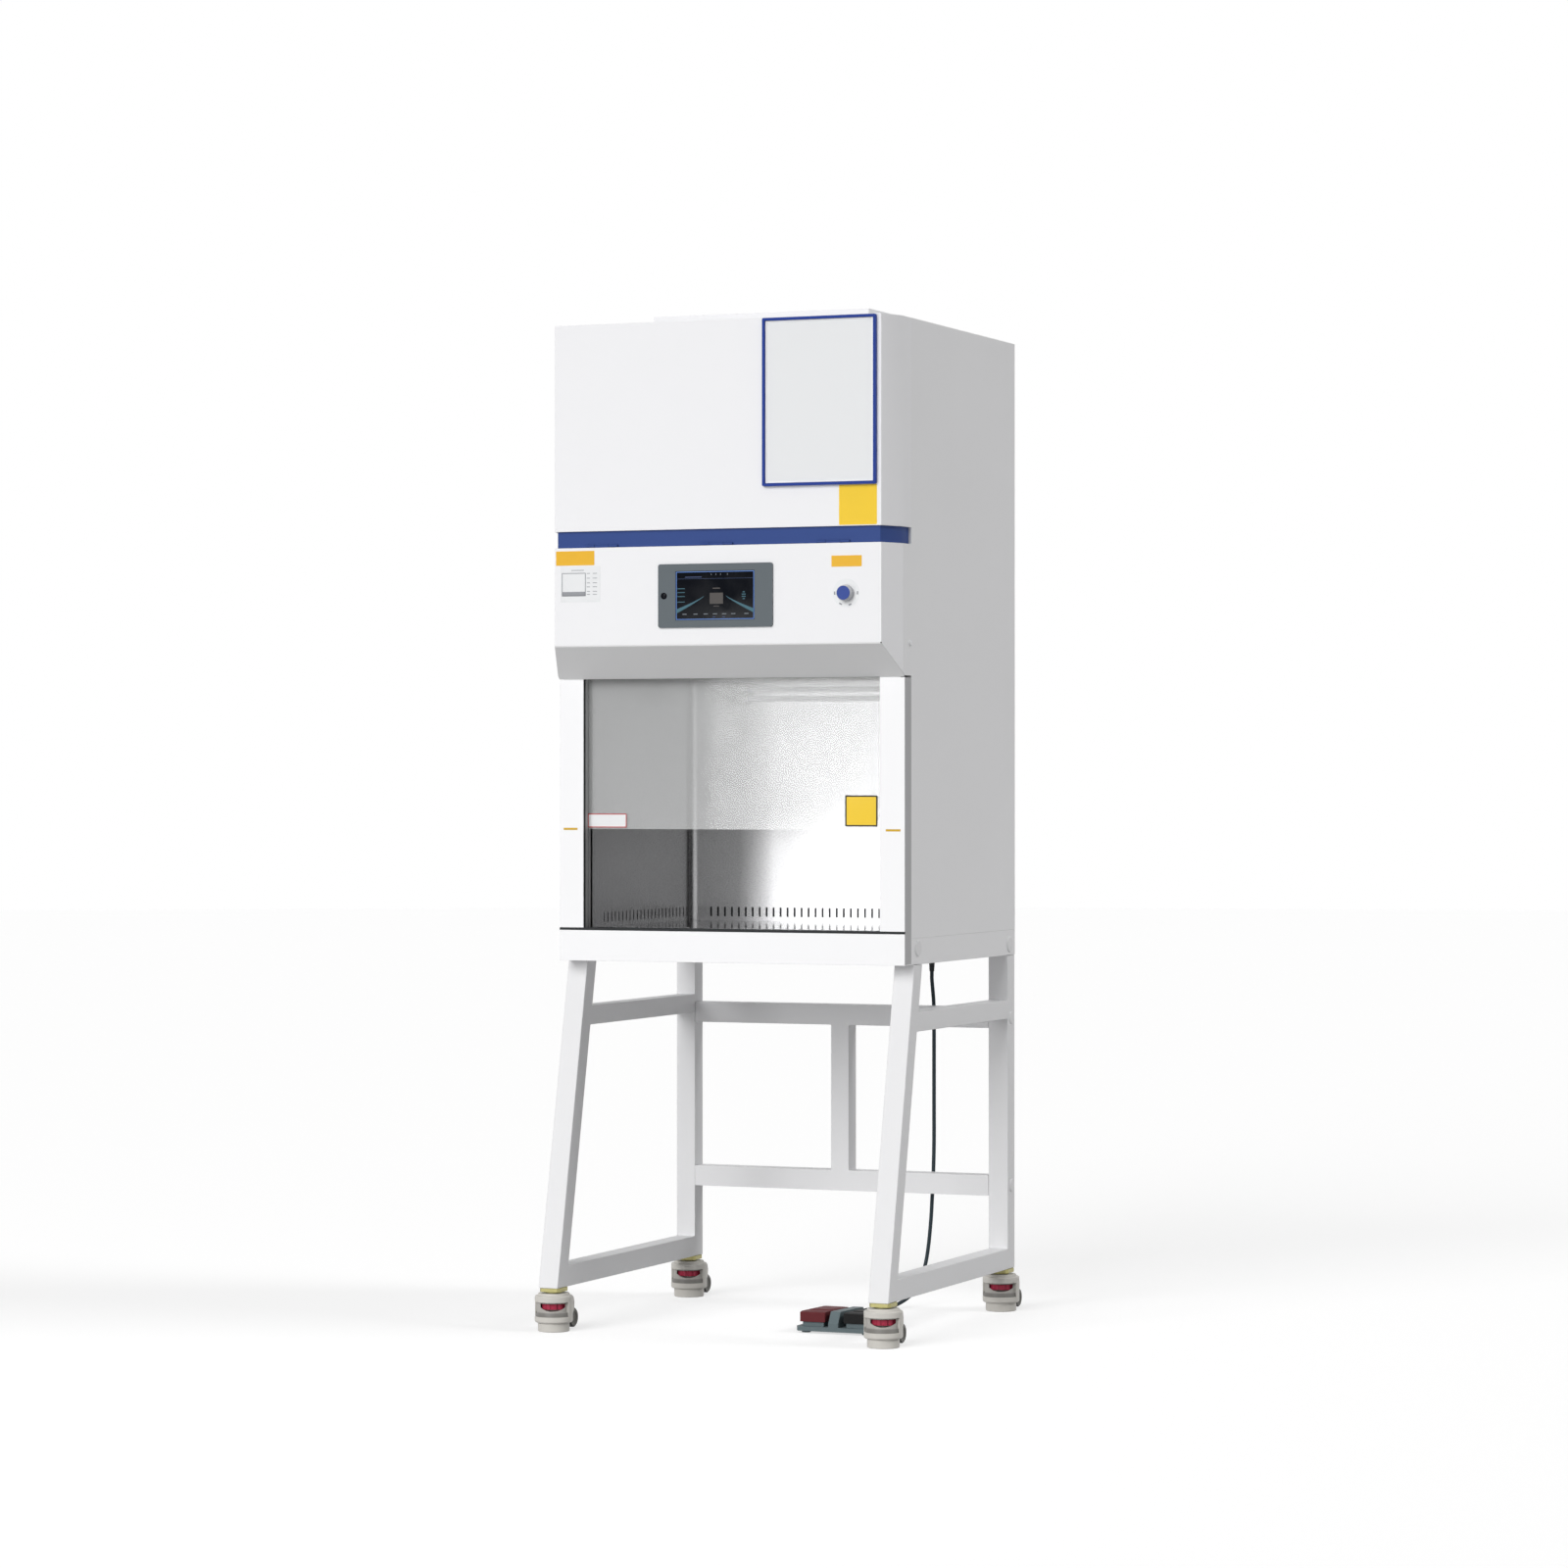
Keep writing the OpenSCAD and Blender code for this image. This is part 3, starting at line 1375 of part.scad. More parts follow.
at_caster(0) thumbwheel();  // thumbwheel_fl
at_caster(1) thumbwheel();  // thumbwheel_fr
at_caster(2) thumbwheel();  // thumbwheel_rl
at_caster(3) thumbwheel();  // thumbwheel_rr
at_caster(0) levelling_pad();  // levelling_pad_fl
at_caster(1) levelling_pad();  // levelling_pad_fr
at_caster(2) levelling_pad();  // levelling_pad_rl
at_caster(3) levelling_pad();  // levelling_pad_rr
foot_base();
red_pedal();
black_pedal();
foot_cable();
cable_glands();
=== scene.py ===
"""Looks of a biosafety cabinet on its stand: camera, cable, finishes, signs and light.

Everything is in metres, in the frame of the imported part: +X to the right of the
person at the cabinet, +Y away from them, +Z up, origin on the floor.
"""
import json
import math

import bmesh
import bpy
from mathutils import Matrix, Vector


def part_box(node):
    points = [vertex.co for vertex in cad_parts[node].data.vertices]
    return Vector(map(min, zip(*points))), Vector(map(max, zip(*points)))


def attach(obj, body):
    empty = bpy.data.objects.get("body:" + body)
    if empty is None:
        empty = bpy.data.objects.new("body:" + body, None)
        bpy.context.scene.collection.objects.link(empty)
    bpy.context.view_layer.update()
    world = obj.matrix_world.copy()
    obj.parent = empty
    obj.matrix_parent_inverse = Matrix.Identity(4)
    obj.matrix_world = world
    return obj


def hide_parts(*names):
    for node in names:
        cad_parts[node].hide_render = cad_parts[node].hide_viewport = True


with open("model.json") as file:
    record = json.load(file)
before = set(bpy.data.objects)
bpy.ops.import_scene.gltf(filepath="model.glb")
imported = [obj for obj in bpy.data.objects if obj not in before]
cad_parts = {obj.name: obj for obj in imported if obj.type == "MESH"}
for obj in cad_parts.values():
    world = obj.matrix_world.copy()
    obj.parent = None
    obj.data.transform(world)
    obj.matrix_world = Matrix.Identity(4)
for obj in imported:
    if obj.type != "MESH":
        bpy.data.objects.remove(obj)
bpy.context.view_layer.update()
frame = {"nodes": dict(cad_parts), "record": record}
scene = bpy.context.scene

# ---------- camera ----------

# A long lens from the front right, at about the height of the work tray, angles in radians
CAMERA_PLACE = (3.6477, -8.8799, 1.1167)
CAMERA_YAW = 0.38990
CAMERA_PITCH = 0.005657
SENSOR_MM = 36.0
LENS_MM = 107.03
SHIFT_Y = -0.0214
CLIP_NEAR, CLIP_FAR = 0.1, 100


def make_camera():
    """The scene's only camera, for a square picture."""
    data = bpy.data.cameras.new("camera")
    data.sensor_width = SENSOR_MM
    data.lens = LENS_MM
    data.shift_y = SHIFT_Y
    data.clip_start = CLIP_NEAR
    data.clip_end = CLIP_FAR
    camera = bpy.data.objects.new("camera", data)
    camera.location = CAMERA_PLACE
    camera.rotation_euler = (math.pi / 2 + CAMERA_PITCH, 0, CAMERA_YAW)
    scene.collection.objects.link(camera)
    scene.camera = camera


# ---------- materials ----------

# Most of a noise texture lies between these values
NOISE_LOW, NOISE_HIGH = 0.3, 0.7
# Scales of the slow changes of tone, in features per metre
PAINT_CLOUD, PLASTIC_CLOUD, METAL_CLOUD, GLASS_CLOUD, LIGHT_CLOUD = 5.0, 22.0, 9.0, 14.0, 60.0
# Scale of a powder coat's orange peel
PEEL_SCALE = 900.0
# Depths of the finest relief, in metres
PEEL_DEPTH, GRAIN_DEPTH, LINE_DEPTH = 0.0004, 0.0003, 0.0002


def new_material(name):
    """A material with its node list, links, shader and coordinate node."""
    mat = bpy.data.materials.new(name)
    mat.use_nodes = True
    nodes = mat.node_tree.nodes
    shader = nodes["Principled BSDF"]
    place = nodes.new("ShaderNodeTexCoord")
    return mat, nodes, mat.node_tree.links, shader, place


def noise(nodes, links, vector, scale, detail=3.0, roughness=0.55):
    """Value of a noise texture at the given coordinates."""
    node = nodes.new("ShaderNodeTexNoise")
    node.inputs["Scale"].default_value = scale
    node.inputs["Detail"].default_value = detail
    node.inputs["Roughness"].default_value = roughness
    links.new(vector, node.inputs["Vector"])
    return node.outputs["Fac"]


def stretched(nodes, links, vector, scale):
    """Coordinates drawn out along an axis, for brushed lines."""
    node = nodes.new("ShaderNodeMapping")
    node.inputs["Scale"].default_value = scale
    links.new(vector, node.inputs["Vector"])
    return node.outputs["Vector"]


def spread(nodes, links, value, low, high):
    """A noise value, stretched to run from low to high."""
    node = nodes.new("ShaderNodeMapRange")
    node.inputs["From Min"].default_value = NOISE_LOW
    node.inputs["From Max"].default_value = NOISE_HIGH
    node.inputs["To Min"].default_value = low
    node.inputs["To Max"].default_value = high
    links.new(value, node.inputs["Value"])
    return node.outputs["Result"]


def varied(nodes, links, value, colour, amount):
    """The colour, a little darker and lighter where the value falls and rises."""
    node = nodes.new("ShaderNodeMix")
    node.data_type = "RGBA"
    dark = [c * (1 - amount) for c in colour]
    light = [min(1.0, c * (1 + amount)) for c in colour]
    node.inputs["A"].default_value = (*dark, 1)
    node.inputs["B"].default_value = (*light, 1)
    links.new(value, node.inputs["Factor"])
    return node.outputs["Result"]


def bump(nodes, links, height, strength, distance):
    """Shading normal of a fine relief."""
    node = nodes.new("ShaderNodeBump")
    node.inputs["Strength"].default_value = strength
    node.inputs["Distance"].default_value = distance
    links.new(height, node.inputs["Height"])
    return node.outputs["Normal"]


def paint(name, colour, rough=0.42, peel=0.12, tone=0.012, shine=0.25):
    """Powder coat: orange peel of under a millimetre, and a faint cloudiness."""
    mat, nodes, links, shader, place = new_material(name)
    at = place.outputs["Object"]
    cloud = noise(nodes, links, at, PAINT_CLOUD)
    fine = noise(nodes, links, at, PEEL_SCALE, 2.0)
    links.new(varied(nodes, links, cloud, colour, tone), shader.inputs["Base Color"])
    links.new(spread(nodes, links, cloud, rough - 0.04, rough + 0.05), shader.inputs["Roughness"])
    links.new(bump(nodes, links, fine, peel, PEEL_DEPTH), shader.inputs["Normal"])
    shader.inputs["Specular IOR Level"].default_value = shine
    return mat


def plastic(name, colour, rough=0.45, grain=0.25, grain_scale=1400.0, shine=0.2):
    """Moulded plastic: spark-eroded grain and a slight change of gloss."""
    mat, nodes, links, shader, place = new_material(name)
    at = place.outputs["Object"]
    cloud = noise(nodes, links, at, PLASTIC_CLOUD)
    fine = noise(nodes, links, at, grain_scale, 2.0)
    links.new(varied(nodes, links, cloud, colour, 0.03), shader.inputs["Base Color"])
    links.new(spread(nodes, links, cloud, rough - 0.06, rough + 0.06), shader.inputs["Roughness"])
    links.new(bump(nodes, links, fine, grain, GRAIN_DEPTH), shader.inputs["Normal"])
    shader.inputs["Specular IOR Level"].default_value = shine
    return mat


def brushed(name, colour, rough=0.3, lines=(6.0, 6.0, 900.0), strength=0.15, metal=1.0):
    """Rolled or brushed sheet: fine parallel lines, drawn along the two small scales."""
    mat, nodes, links, shader, place = new_material(name)
    at = place.outputs["Object"]
    drawn = stretched(nodes, links, at, lines)
    streak = noise(nodes, links, drawn, 1.0, 4.0, 0.65)
    cloud = noise(nodes, links, at, METAL_CLOUD)
    links.new(varied(nodes, links, cloud, colour, 0.05), shader.inputs["Base Color"])
    links.new(spread(nodes, links, streak, rough - 0.06, rough + 0.08), shader.inputs["Roughness"])
    links.new(bump(nodes, links, streak, strength, LINE_DEPTH), shader.inputs["Normal"])
    shader.inputs["Metallic"].default_value = metal
    return mat


def clear(name, colour, body):
    """Clear sheet whose two faces each hide the given share of what lies behind; on the sash that
    pale share is painted reflection.
    """
    mat, nodes, links, shader, place = new_material(name)
    cloud = noise(nodes, links, place.outputs["Object"], GLASS_CLOUD)
    links.new(varied(nodes, links, cloud, colour, 0.01), shader.inputs["Base Color"])
    links.new(spread(nodes, links, cloud, 0.04, 0.08), shader.inputs["Roughness"])
    shader.inputs["Alpha"].default_value = body
    return mat


def glassy(name, colour, rough, through, smear=0.02):
    """Glass that lets the given share of the light through, with faint smears in its gloss."""
    mat, nodes, links, shader, place = new_material(name)
    cloud = noise(nodes, links, place.outputs["Object"], GLASS_CLOUD)
    links.new(varied(nodes, links, cloud, colour, 0.01), shader.inputs["Base Color"])
    links.new(spread(nodes, links, cloud, rough, rough + smear), shader.inputs["Roughness"])
    shader.inputs["Transmission Weight"].default_value = through
    shader.inputs["IOR"].default_value = 1.45
    return mat


def coordinates(nodes):
    """The coordinate node that the material already has."""
    return next(node for node in nodes if node.type == "TEX_COORD")


AXIS_X, AXIS_Z = 0, 2


def reach_from(nodes, links, centre, axis):
    """Distance from the line through centre along the axis."""
    place = coordinates(nodes)
    offset = nodes.new("ShaderNodeVectorMath")
    offset.operation = "SUBTRACT"
    offset.inputs[1].default_value = centre
    links.new(place.outputs["Object"], offset.inputs[0])
    flat = nodes.new("ShaderNodeVectorMath")
    flat.operation = "MULTIPLY"
    flat.inputs[1].default_value = [0 if k == axis else 1 for k in range(3)]
    links.new(offset.outputs["Vector"], flat.inputs[0])
    length = nodes.new("ShaderNodeVectorMath")
    length.operation = "LENGTH"
    links.new(flat.outputs["Vector"], length.inputs[0])
    return length.outputs["Value"]


def compare(nodes, links, operation, value, limit):
    """1 where the value passes the test against the limit, otherwise 0."""
    test = nodes.new("ShaderNodeMath")
    test.operation = operation
    test.inputs[1].default_value = limit
    links.new(value, test.inputs[0])
    return test.outputs[0]


def over_base(mat, factor, colour):
    """Lays a colour, or a colour output, over the shader's base colour where factor is 1."""
    nodes, links = mat.node_tree.nodes, mat.node_tree.links
    base = nodes["Principled BSDF"].inputs["Base Color"]
    mix = nodes.new("ShaderNodeMix")
    mix.data_type = "RGBA"
    links.new(base.links[0].from_socket, mix.inputs["A"])
    if isinstance(colour, tuple):
        mix.inputs["B"].default_value = (*colour, 1)
    else:
        links.new(colour, mix.inputs["B"])
    links.new(factor, mix.inputs["Factor"])
    links.new(mix.outputs["Result"], base)


def wheel_plastic(corner):
    """Grey wheels with a darker tyre."""
    low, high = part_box("caster_wheels_" + corner)
    mat = plastic("wheel_plastic_" + corner, WHEEL_HUB, 0.5)
    nodes, links = mat.node_tree.nodes, mat.node_tree.links
    reach = reach_from(nodes, links, (low + high) / 2, AXIS_X)
    over_base(mat, compare(nodes, links, "GREATER_THAN", reach, TYRE_FROM), WHEEL_TYRE)
    return mat


def housing_painted_shade(corner):
    """Ivory housing with painted shade on its waist, darkest in the groove over the flange."""
    low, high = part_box("caster_housing_" + corner)
    ring = (high.x - low.x) / 2
    mat = plastic("caster_ivory_painted_shade_" + corner, IVORY, 0.4, 0.3)
    nodes, links = mat.node_tree.nodes, mat.node_tree.links
    reach = reach_from(nodes, links, (low.x + ring, low.y + ring, 0), AXIS_Z)
    inside = compare(nodes, links, "LESS_THAN", reach, ring - RING_EDGE)
    place = coordinates(nodes)
    split = nodes.new("ShaderNodeSeparateXYZ")
    links.new(place.outputs["Object"], split.inputs[0])
    level = nodes.new("ShaderNodeMapRange")
    level.inputs["From Min"].default_value = low.z
    level.inputs["From Max"].default_value = high.z
    links.new(split.outputs["Z"], level.inputs["Value"])
    shade_tones = nodes.new("ShaderNodeValToRGB")
    ramp = shade_tones.color_ramp
    ramp.elements[0].position, ramp.elements[0].color = 0.0, (*IVORY, 1)
    ramp.elements[1].position, ramp.elements[1].color = 1.0, (*IVORY, 1)
    for z, share in WAIST_PAINTED_SHADE:
        stop = ramp.elements.new((z - low.z) / (high.z - low.z))
        stop.color = (*[c * share for c in IVORY], 1)
    links.new(level.outputs["Result"], shade_tones.inputs["Fac"])
    # painted shade: inside the rings the ivory darkens by height, deepest in the groove over the
    # flange
    over_base(mat, inside, shade_tones.outputs["Color"])
    return mat


def glow(name, colour, strength):
    """A lit mark on the display."""
    mat, nodes, links, shader, place = new_material(name)
    cloud = noise(nodes, links, place.outputs["Object"], LIGHT_CLOUD)
    links.new(varied(nodes, links, cloud, colour, 0.03), shader.inputs["Base Color"])
    shader.inputs["Emission Color"].default_value = (*colour, 1)
    shader.inputs["Emission Strength"].default_value = strength
    return mat


WHITE = (0.87, 0.87, 0.885)
IVORY = (0.61, 0.59, 0.55)
CORNERS = ("fl", "fr", "rl", "rr")
# Housing: what lies further inside its rings than this is the waist, which gets painted shade
RING_EDGE = 0.0009
# Painted shade on the waist: heights above the floor, each with its share of the ivory's lightness
WAIST_PAINTED_SHADE = (
    (0.0298, 1.0), (0.0308, 0.30), (0.0375, 0.34), (0.0405, 0.66), (0.0590, 0.72), (0.0602, 1.0),
)
# Wheels: colours of hub and tyre, and the radius at which the tyre begins
WHEEL_HUB = (0.16, 0.157, 0.145)
WHEEL_TYRE = (0.03, 0.03, 0.03)
TYRE_FROM = 0.0172

MAT = {
    # paints: colour, roughness, orange peel
    "white": paint("white_powder_coat", WHITE),
    "white_gloss": paint("white_pillar_paint", (0.93, 0.93, 0.94), 0.35),
    "panel": paint("side_panel_paint", (0.85, 0.85, 0.86)),
    "post": paint("post_paint", (0.42, 0.42, 0.43)),
    "visor": paint("visor_paint", (0.72, 0.72, 0.725), 0.5, 0.2),
    "stand": paint("stand_paint", (0.78, 0.78, 0.79)),
    "blue": paint("blue_paint", (0.036, 0.072, 0.245), 0.40, shine=0.1),
    "blue_deep": paint("blue_frame_paint", (0.020, 0.050, 0.28), 0.40, shine=0.1),
    "plate": paint("blank_plate_paint", (0.80, 0.81, 0.82), 0.5, 0.05),
    "motor": paint("motor_paint", (0.13, 0.135, 0.15), 0.5, 0.25),
    # metals: colour, roughness, scales of the lines, their depth, metal share
    "steel": brushed("chamber_steel", (0.42, 0.42, 0.425), 0.27, (160.0, 160.0, 2600.0), 0.02),
    "tray_steel": brushed("tray_steel", (0.40, 0.40, 0.41), 0.10, (900.0, 6.0, 6.0), 0.02),
    "aluminium": brushed("anodised_aluminium", (0.78, 0.79, 0.80), 0.32, (4.0, 700.0, 700.0)),
    "shaft": brushed("ground_shaft", (0.70, 0.71, 0.72), 0.2, (900.0, 8.0, 8.0)),
    "zinc": brushed("passivated_zinc", (0.38, 0.35, 0.15), 0.38, (60.0, 60.0, 60.0), 0.2, 0.75),
    # glass: colour, then roughness and share let through, or share hidden
    "tube_glass": glassy("tube_glass", (0.85, 0.86, 0.88), 0.08, 0.3),
    # painted reflection: the pale share the sash glass hides stands in for the light the glass
    # reflects
    "glass": clear("sash_glass", (0.86, 0.87, 0.87), 0.27),
    # plastics, rubber and filter paper: colour, roughness, grain, its scale, shine
    "guide": plastic("guide_plastic", (0.55, 0.555, 0.56), 0.5),
    "black": plastic("black_strip_plastic", (0.018, 0.02, 0.022), 0.5),
    "media": plastic("filter_media", (0.80, 0.81, 0.78), 0.85, 0.6, 500.0),
    "belt": plastic("belt_rubber", (0.012, 0.012, 0.014), 0.8, 0.5, 600.0),
    "lamp_body": plastic("lamp_plastic", (0.62, 0.62, 0.62), 0.4),
    "holder": plastic("lamp_holder_plastic", (0.20, 0.20, 0.205), 0.4),
    "bezel": plastic("bezel_plastic", (0.11, 0.13, 0.143), 0.45),
    "screen": plastic("screen_glass", (0.002, 0.003, 0.006), 0.08, 0.0, 400.0, 0.06),
    "knob": plastic("knob_plastic", (0.50, 0.51, 0.54), 0.3, 0.1),
    "knob_face": plastic("knob_face_plastic", (0.03, 0.065, 0.30), 0.4, 0.3),
    "ivory": plastic("caster_ivory", IVORY, 0.4, 0.3),
    "thumb": plastic("thumbwheel_red", (0.38, 0.03, 0.065), 0.3, 0.1),
    "pedal_grey": plastic("pedal_base_plastic", (0.115, 0.15, 0.16), 0.5),
    "pedal_red": plastic("pedal_red_plastic", (0.120, 0.022, 0.026), 0.55, 0.5, 800.0, 0.1),
    "pedal_black": plastic("pedal_black_plastic", (0.012, 0.012, 0.012), 0.55, 0.5, 800.0, 0.1),
    "cable": plastic("cable_rubber", (0.022, 0.035, 0.043), 0.5, 0.3),
    # films and inks
    "yellow": plastic("yellow_film", (0.90, 0.60, 0.028), 0.35, 0.05),
    "sign_orange": plastic("orange_film", (0.83, 0.46, 0.024), 0.35, 0.05),
    "mark_yellow": plastic("mark_yellow_film", (0.62, 0.38, 0.022), 0.4, 0.05),
    "label": plastic("label_film", (0.82, 0.83, 0.84), 0.3, 0.05),
    "label_red": plastic("label_red_ink", (0.50, 0.05, 0.05), 0.35, 0.05),
    "ink": plastic("label_dark_ink", (0.012, 0.013, 0.015), 0.4, 0.05),
    "ink_grey": plastic("label_grey_ink", (0.30, 0.31, 0.33), 0.4, 0.05),
    # lit marks on the display: colour, strength
    "screen_blue": glow("screen_blue_light", (0.062, 0.149, 0.407), 0.5),
    "screen_teal": glow("screen_teal_light", (0.006, 0.060, 0.085), 0.5),
    "screen_pale": glow("screen_pale_light", (0.09, 0.105, 0.12), 0.5),
    "screen_dim": glow("screen_dim_light", (0.006, 0.020, 0.075), 0.5),
    "screen_brown": glow("screen_brown_light", (0.014, 0.010, 0.008), 0.5),
}


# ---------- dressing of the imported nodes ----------


def dress(node, material):
    """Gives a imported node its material."""
    mesh = frame["nodes"][node].data
    mesh.materials.clear()
    mesh.materials.append(MAT[material])


def body_of_node(node):
    """The body that carries a node."""
    for body, members in frame["record"]["behaviour"]["bodies"].items():
        if node in members:
            return body
    raise ValueError(node)


def link(name, mesh, material, body):
    """Puts a mesh into the scene as a piece that rides on a body."""
    piece = bpy.data.objects.new(name, mesh)
    mesh.materials.clear()
    mesh.materials.append(MAT[material])
    scene.collection.objects.link(piece)
    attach(piece, body)
    return piece


EASED_ANGLE = math.radians(28)
SAME_POINT = 1e-6
# How much more a large face counts than a small one in the shading at an edge
FACE_WEIGHT = 100
# Widths of the eased edges of caster housings, pads and wheels, and of the thumbwheels
CASTER_EASE, THUMB_EASE = 0.0005, 0.0006


def eased(node, material, width, segments=2):
    """A finished copy of a node, with its folded or moulded edges eased by width."""
    mesh = frame["nodes"][node].data.copy()
    shape = bmesh.new()
    shape.from_mesh(mesh)
    bmesh.ops.remove_doubles(shape, verts=shape.verts, dist=SAME_POINT)
    for face in shape.faces:
        face.smooth = True
    shape.to_mesh(mesh)
    shape.free()
    piece = link(node + "_finish", mesh, material, body_of_node(node))
    edges = piece.modifiers.new("eased edges", "BEVEL")
    edges.width = width
    edges.segments = segments
    edges.limit_method = "ANGLE"
    edges.angle_limit = EASED_ANGLE
    edges.miter_outer = "MITER_ARC"
    even = piece.modifiers.new("even shading", "WEIGHTED_NORMAL")
    even.weight = FACE_WEIGHT
    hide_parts(node)
    return piece


# Nodes that keep their own mesh, each with its finish
DRESSED = {
    "top_panel": "white", "back_panel": "panel", "rear_liner": "steel",
    "side_liners": "steel", "supply_filter": "media", "exhaust_filter": "media",
    "blower_housing": "steel", "blower_motor": "motor", "impeller": "aluminium",
    "sash_guides": "guide", "sash_motor": "motor", "sash_belts": "belt",
    "sash_shaft": "shaft", "uv_tubes": "tube_glass", "work_light": "lamp_body",
    "cover_hinges": "blue", "touch_screen": "screen", "bolt_caps": "stand",
    "cable_glands": "black", "sill_strip": "black", "sash_glass": "glass",
}
# Nodes shown by a finished copy, each with its finish and the width of its eased edges
EASED = {
    "side_panels": ("panel", 0.0012), "base_frame": ("panel", 0.0008),
    "front_fascia": ("white_gloss", 0.0006), "front_posts": ("post", 0.0006),
    "hood_side_strips": ("panel", 0.0006), "upper_hood_cover": ("white", 0.0009),
    "control_cover": ("white", 0.0008), "visor": ("visor", 0.0006),
    "blue_band": ("blue", 0.0005), "panel_frame": ("blue_deep", 0.0009),
    "exhaust_collar": ("white", 0.0006), "work_tray": ("tray_steel", 0.0006),
    "sash_carrier": ("aluminium", 0.0005), "lamp_holders": ("holder", 0.003),
    "screen_bezel": ("bezel", 0.0008), "selector_knob": ("knob", 0.0005),
    "side_frames": ("stand", 0.0032), "rear_beams": ("stand", 0.0032),
    "foot_base": ("pedal_grey", 0.0010), "red_pedal": ("pedal_red", 0.0012),
    "black_pedal": ("pedal_black", 0.0012), "caster_plates": ("zinc", 0.0010),
}


def dress_all():
    """Materials for the plain nodes, finished copies for those with eased edges."""
    for node, material in DRESSED.items():
        dress(node, material)
    for node, (material, width) in EASED.items():
        eased(node, material, width)
    for corner in CORNERS:
        # the housings' materials carry painted shade on their waists
        MAT["housing_" + corner] = housing_painted_shade(corner)
        MAT["wheel_" + corner] = wheel_plastic(corner)
        eased("caster_housing_" + corner, "housing_" + corner, CASTER_EASE, 1)
        eased("levelling_pad_" + corner, "ivory", CASTER_EASE)
        eased("thumbwheel_" + corner, "thumb", THUMB_EASE)
        eased("caster_wheels_" + corner, "wheel_" + corner, CASTER_EASE)


# ---------- cable ----------

CABLE_DIAMETER = 0.008
# From the gland under the cabinet, down behind the stand and along the floor to the foot switch
CABLE_ROUTE = [
    (0.194, 0.346, 0.706), (0.194, 0.346, 0.698), (0.194, 0.346, 0.690),
    (0.194, 0.351, 0.668), (0.194, 0.357, 0.640), (0.194, 0.359, 0.590),
    (0.194, 0.359, 0.530), (0.194, 0.359, 0.470), (0.194, 0.359, 0.410),
    (0.194, 0.359, 0.350), (0.193, 0.359, 0.300), (0.192, 0.358, 0.260),
    (0.190, 0.358, 0.225), (0.188, 0.358, 0.190), (0.185, 0.358, 0.155),
    (0.181, 0.358, 0.120), (0.176, 0.356, 0.088), (0.170, 0.347, 0.058),
    (0.163, 0.327, 0.033), (0.154, 0.300, 0.018), (0.145, 0.268, 0.009),
    (0.139, 0.232, 0.005), (0.138, 0.195, 0.005), (0.142, 0.158, 0.005),
    (0.151, 0.122, 0.005), (0.165, 0.090, 0.005), (0.183, 0.063, 0.005),
    (0.203, 0.040, 0.006), (0.220, 0.018, 0.009), (0.228, -0.002, 0.012),
    (0.230, -0.018, 0.013), (0.230, -0.026, 0.013), (0.230, -0.034, 0.013),
]
# Pieces of the smooth curve between two of these points
CABLE_STEPS = 4
CABLE_ROUNDNESS = 5


def smooth_route(route, steps):
    """Points of a smooth curve through the route."""
    last = len(route) - 1
    points = []
    for i in range(last):
        a, b, c, d = (Vector(route[k]) for k in (max(i - 1, 0), i, i + 1, min(i + 2, last)))
        for k in range(steps):
            t = k / steps
            points.append(
                0.5 * (2 * b + (c - a) * t + (2 * a - 5 * b + 4 * c - d) * t**2
                       + (3 * b - a - 3 * c + d) * t**3)
            )
    return points + [Vector(route[last])]


def make_cable():
    """The cable of the foot switch, from end to end."""
    points = smooth_route(CABLE_ROUTE, CABLE_STEPS)
    curve = bpy.data.curves.new("foot_cable_line", "CURVE")
    curve.dimensions = "3D"
    curve.bevel_depth = CABLE_DIAMETER / 2
    curve.bevel_resolution = CABLE_ROUNDNESS
    curve.use_fill_caps = True
    line = curve.splines.new("POLY")
    line.points.add(len(points) - 1)
    for place, point in zip(line.points, points):
        place.co = (*point, 1)
    cable = bpy.data.objects.new("foot_cable_line", curve)
    curve.materials.append(MAT["cable"])
    scene.collection.objects.link(cable)
    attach(cable, "cabinet")
    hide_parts("foot_cable")


# ---------- small flat pieces ----------

# Thickness of a film or a printed mark, and the lead of a mark over the card below it
FILM = 0.0003
# Radii of the corners of plates, signs, marks and printed lines
SOFT_CORNER, SIGN_CORNER, MARK_CORNER, FINE_CORNER = 0.002, 0.001, 0.0005, 0.0003


def rounded_outline(width, height, radius, steps=5):
    """Corner-rounded rectangle round the origin, anticlockwise."""
    points = []
    for turn, (sx, sz) in enumerate(((1, 1), (-1, 1), (-1, -1), (1, -1))):
        centre = (sx * (width / 2 - radius), sz * (height / 2 - radius))
        for k in range(steps + 1):
            a = math.pi / 2 * (turn + k / steps)
            points.append((centre[0] + radius * math.cos(a), centre[1] + radius * math.sin(a)))
    return points


def flat_piece(name, outline, face_y, thick, material, body, slot, inner=None, raised=0.0):
    """A thin piece with that (x, z) outline, standing out of the face at y = face_y."""
    shape = bmesh.new()
    back = face_y - raised
    front = back - thick

    def ring(points, y):
        return [shape.verts.new((x, y, z)) for x, z in points]

    outer_back, outer_front = ring(outline, back), ring(outline, front)
    rings = [(outer_back, outer_front)]
    if inner:
        inner_back, inner_front = ring(inner, back), ring(inner, front)
        rings.append((inner_front, inner_back))
        for a, b in ((outer_front, inner_front), (inner_back, outer_back)):
            for i in range(len(a)):
                k = (i + 1) % len(a)
                shape.faces.new((a[i], a[k], b[k], b[i]))
    else:
        shape.faces.new(outer_front)
        shape.faces.new(outer_back[::-1])
    for a, b in rings:
        for i in range(len(a)):
            k = (i + 1) % len(a)
            shape.faces.new((a[i], a[k], b[k], b[i]))
    bmesh.ops.recalc_face_normals(shape, faces=shape.faces)
    mesh = bpy.data.meshes.new(name)
    shape.to_mesh(mesh)
    shape.free()
    return link(name, mesh, material, body)


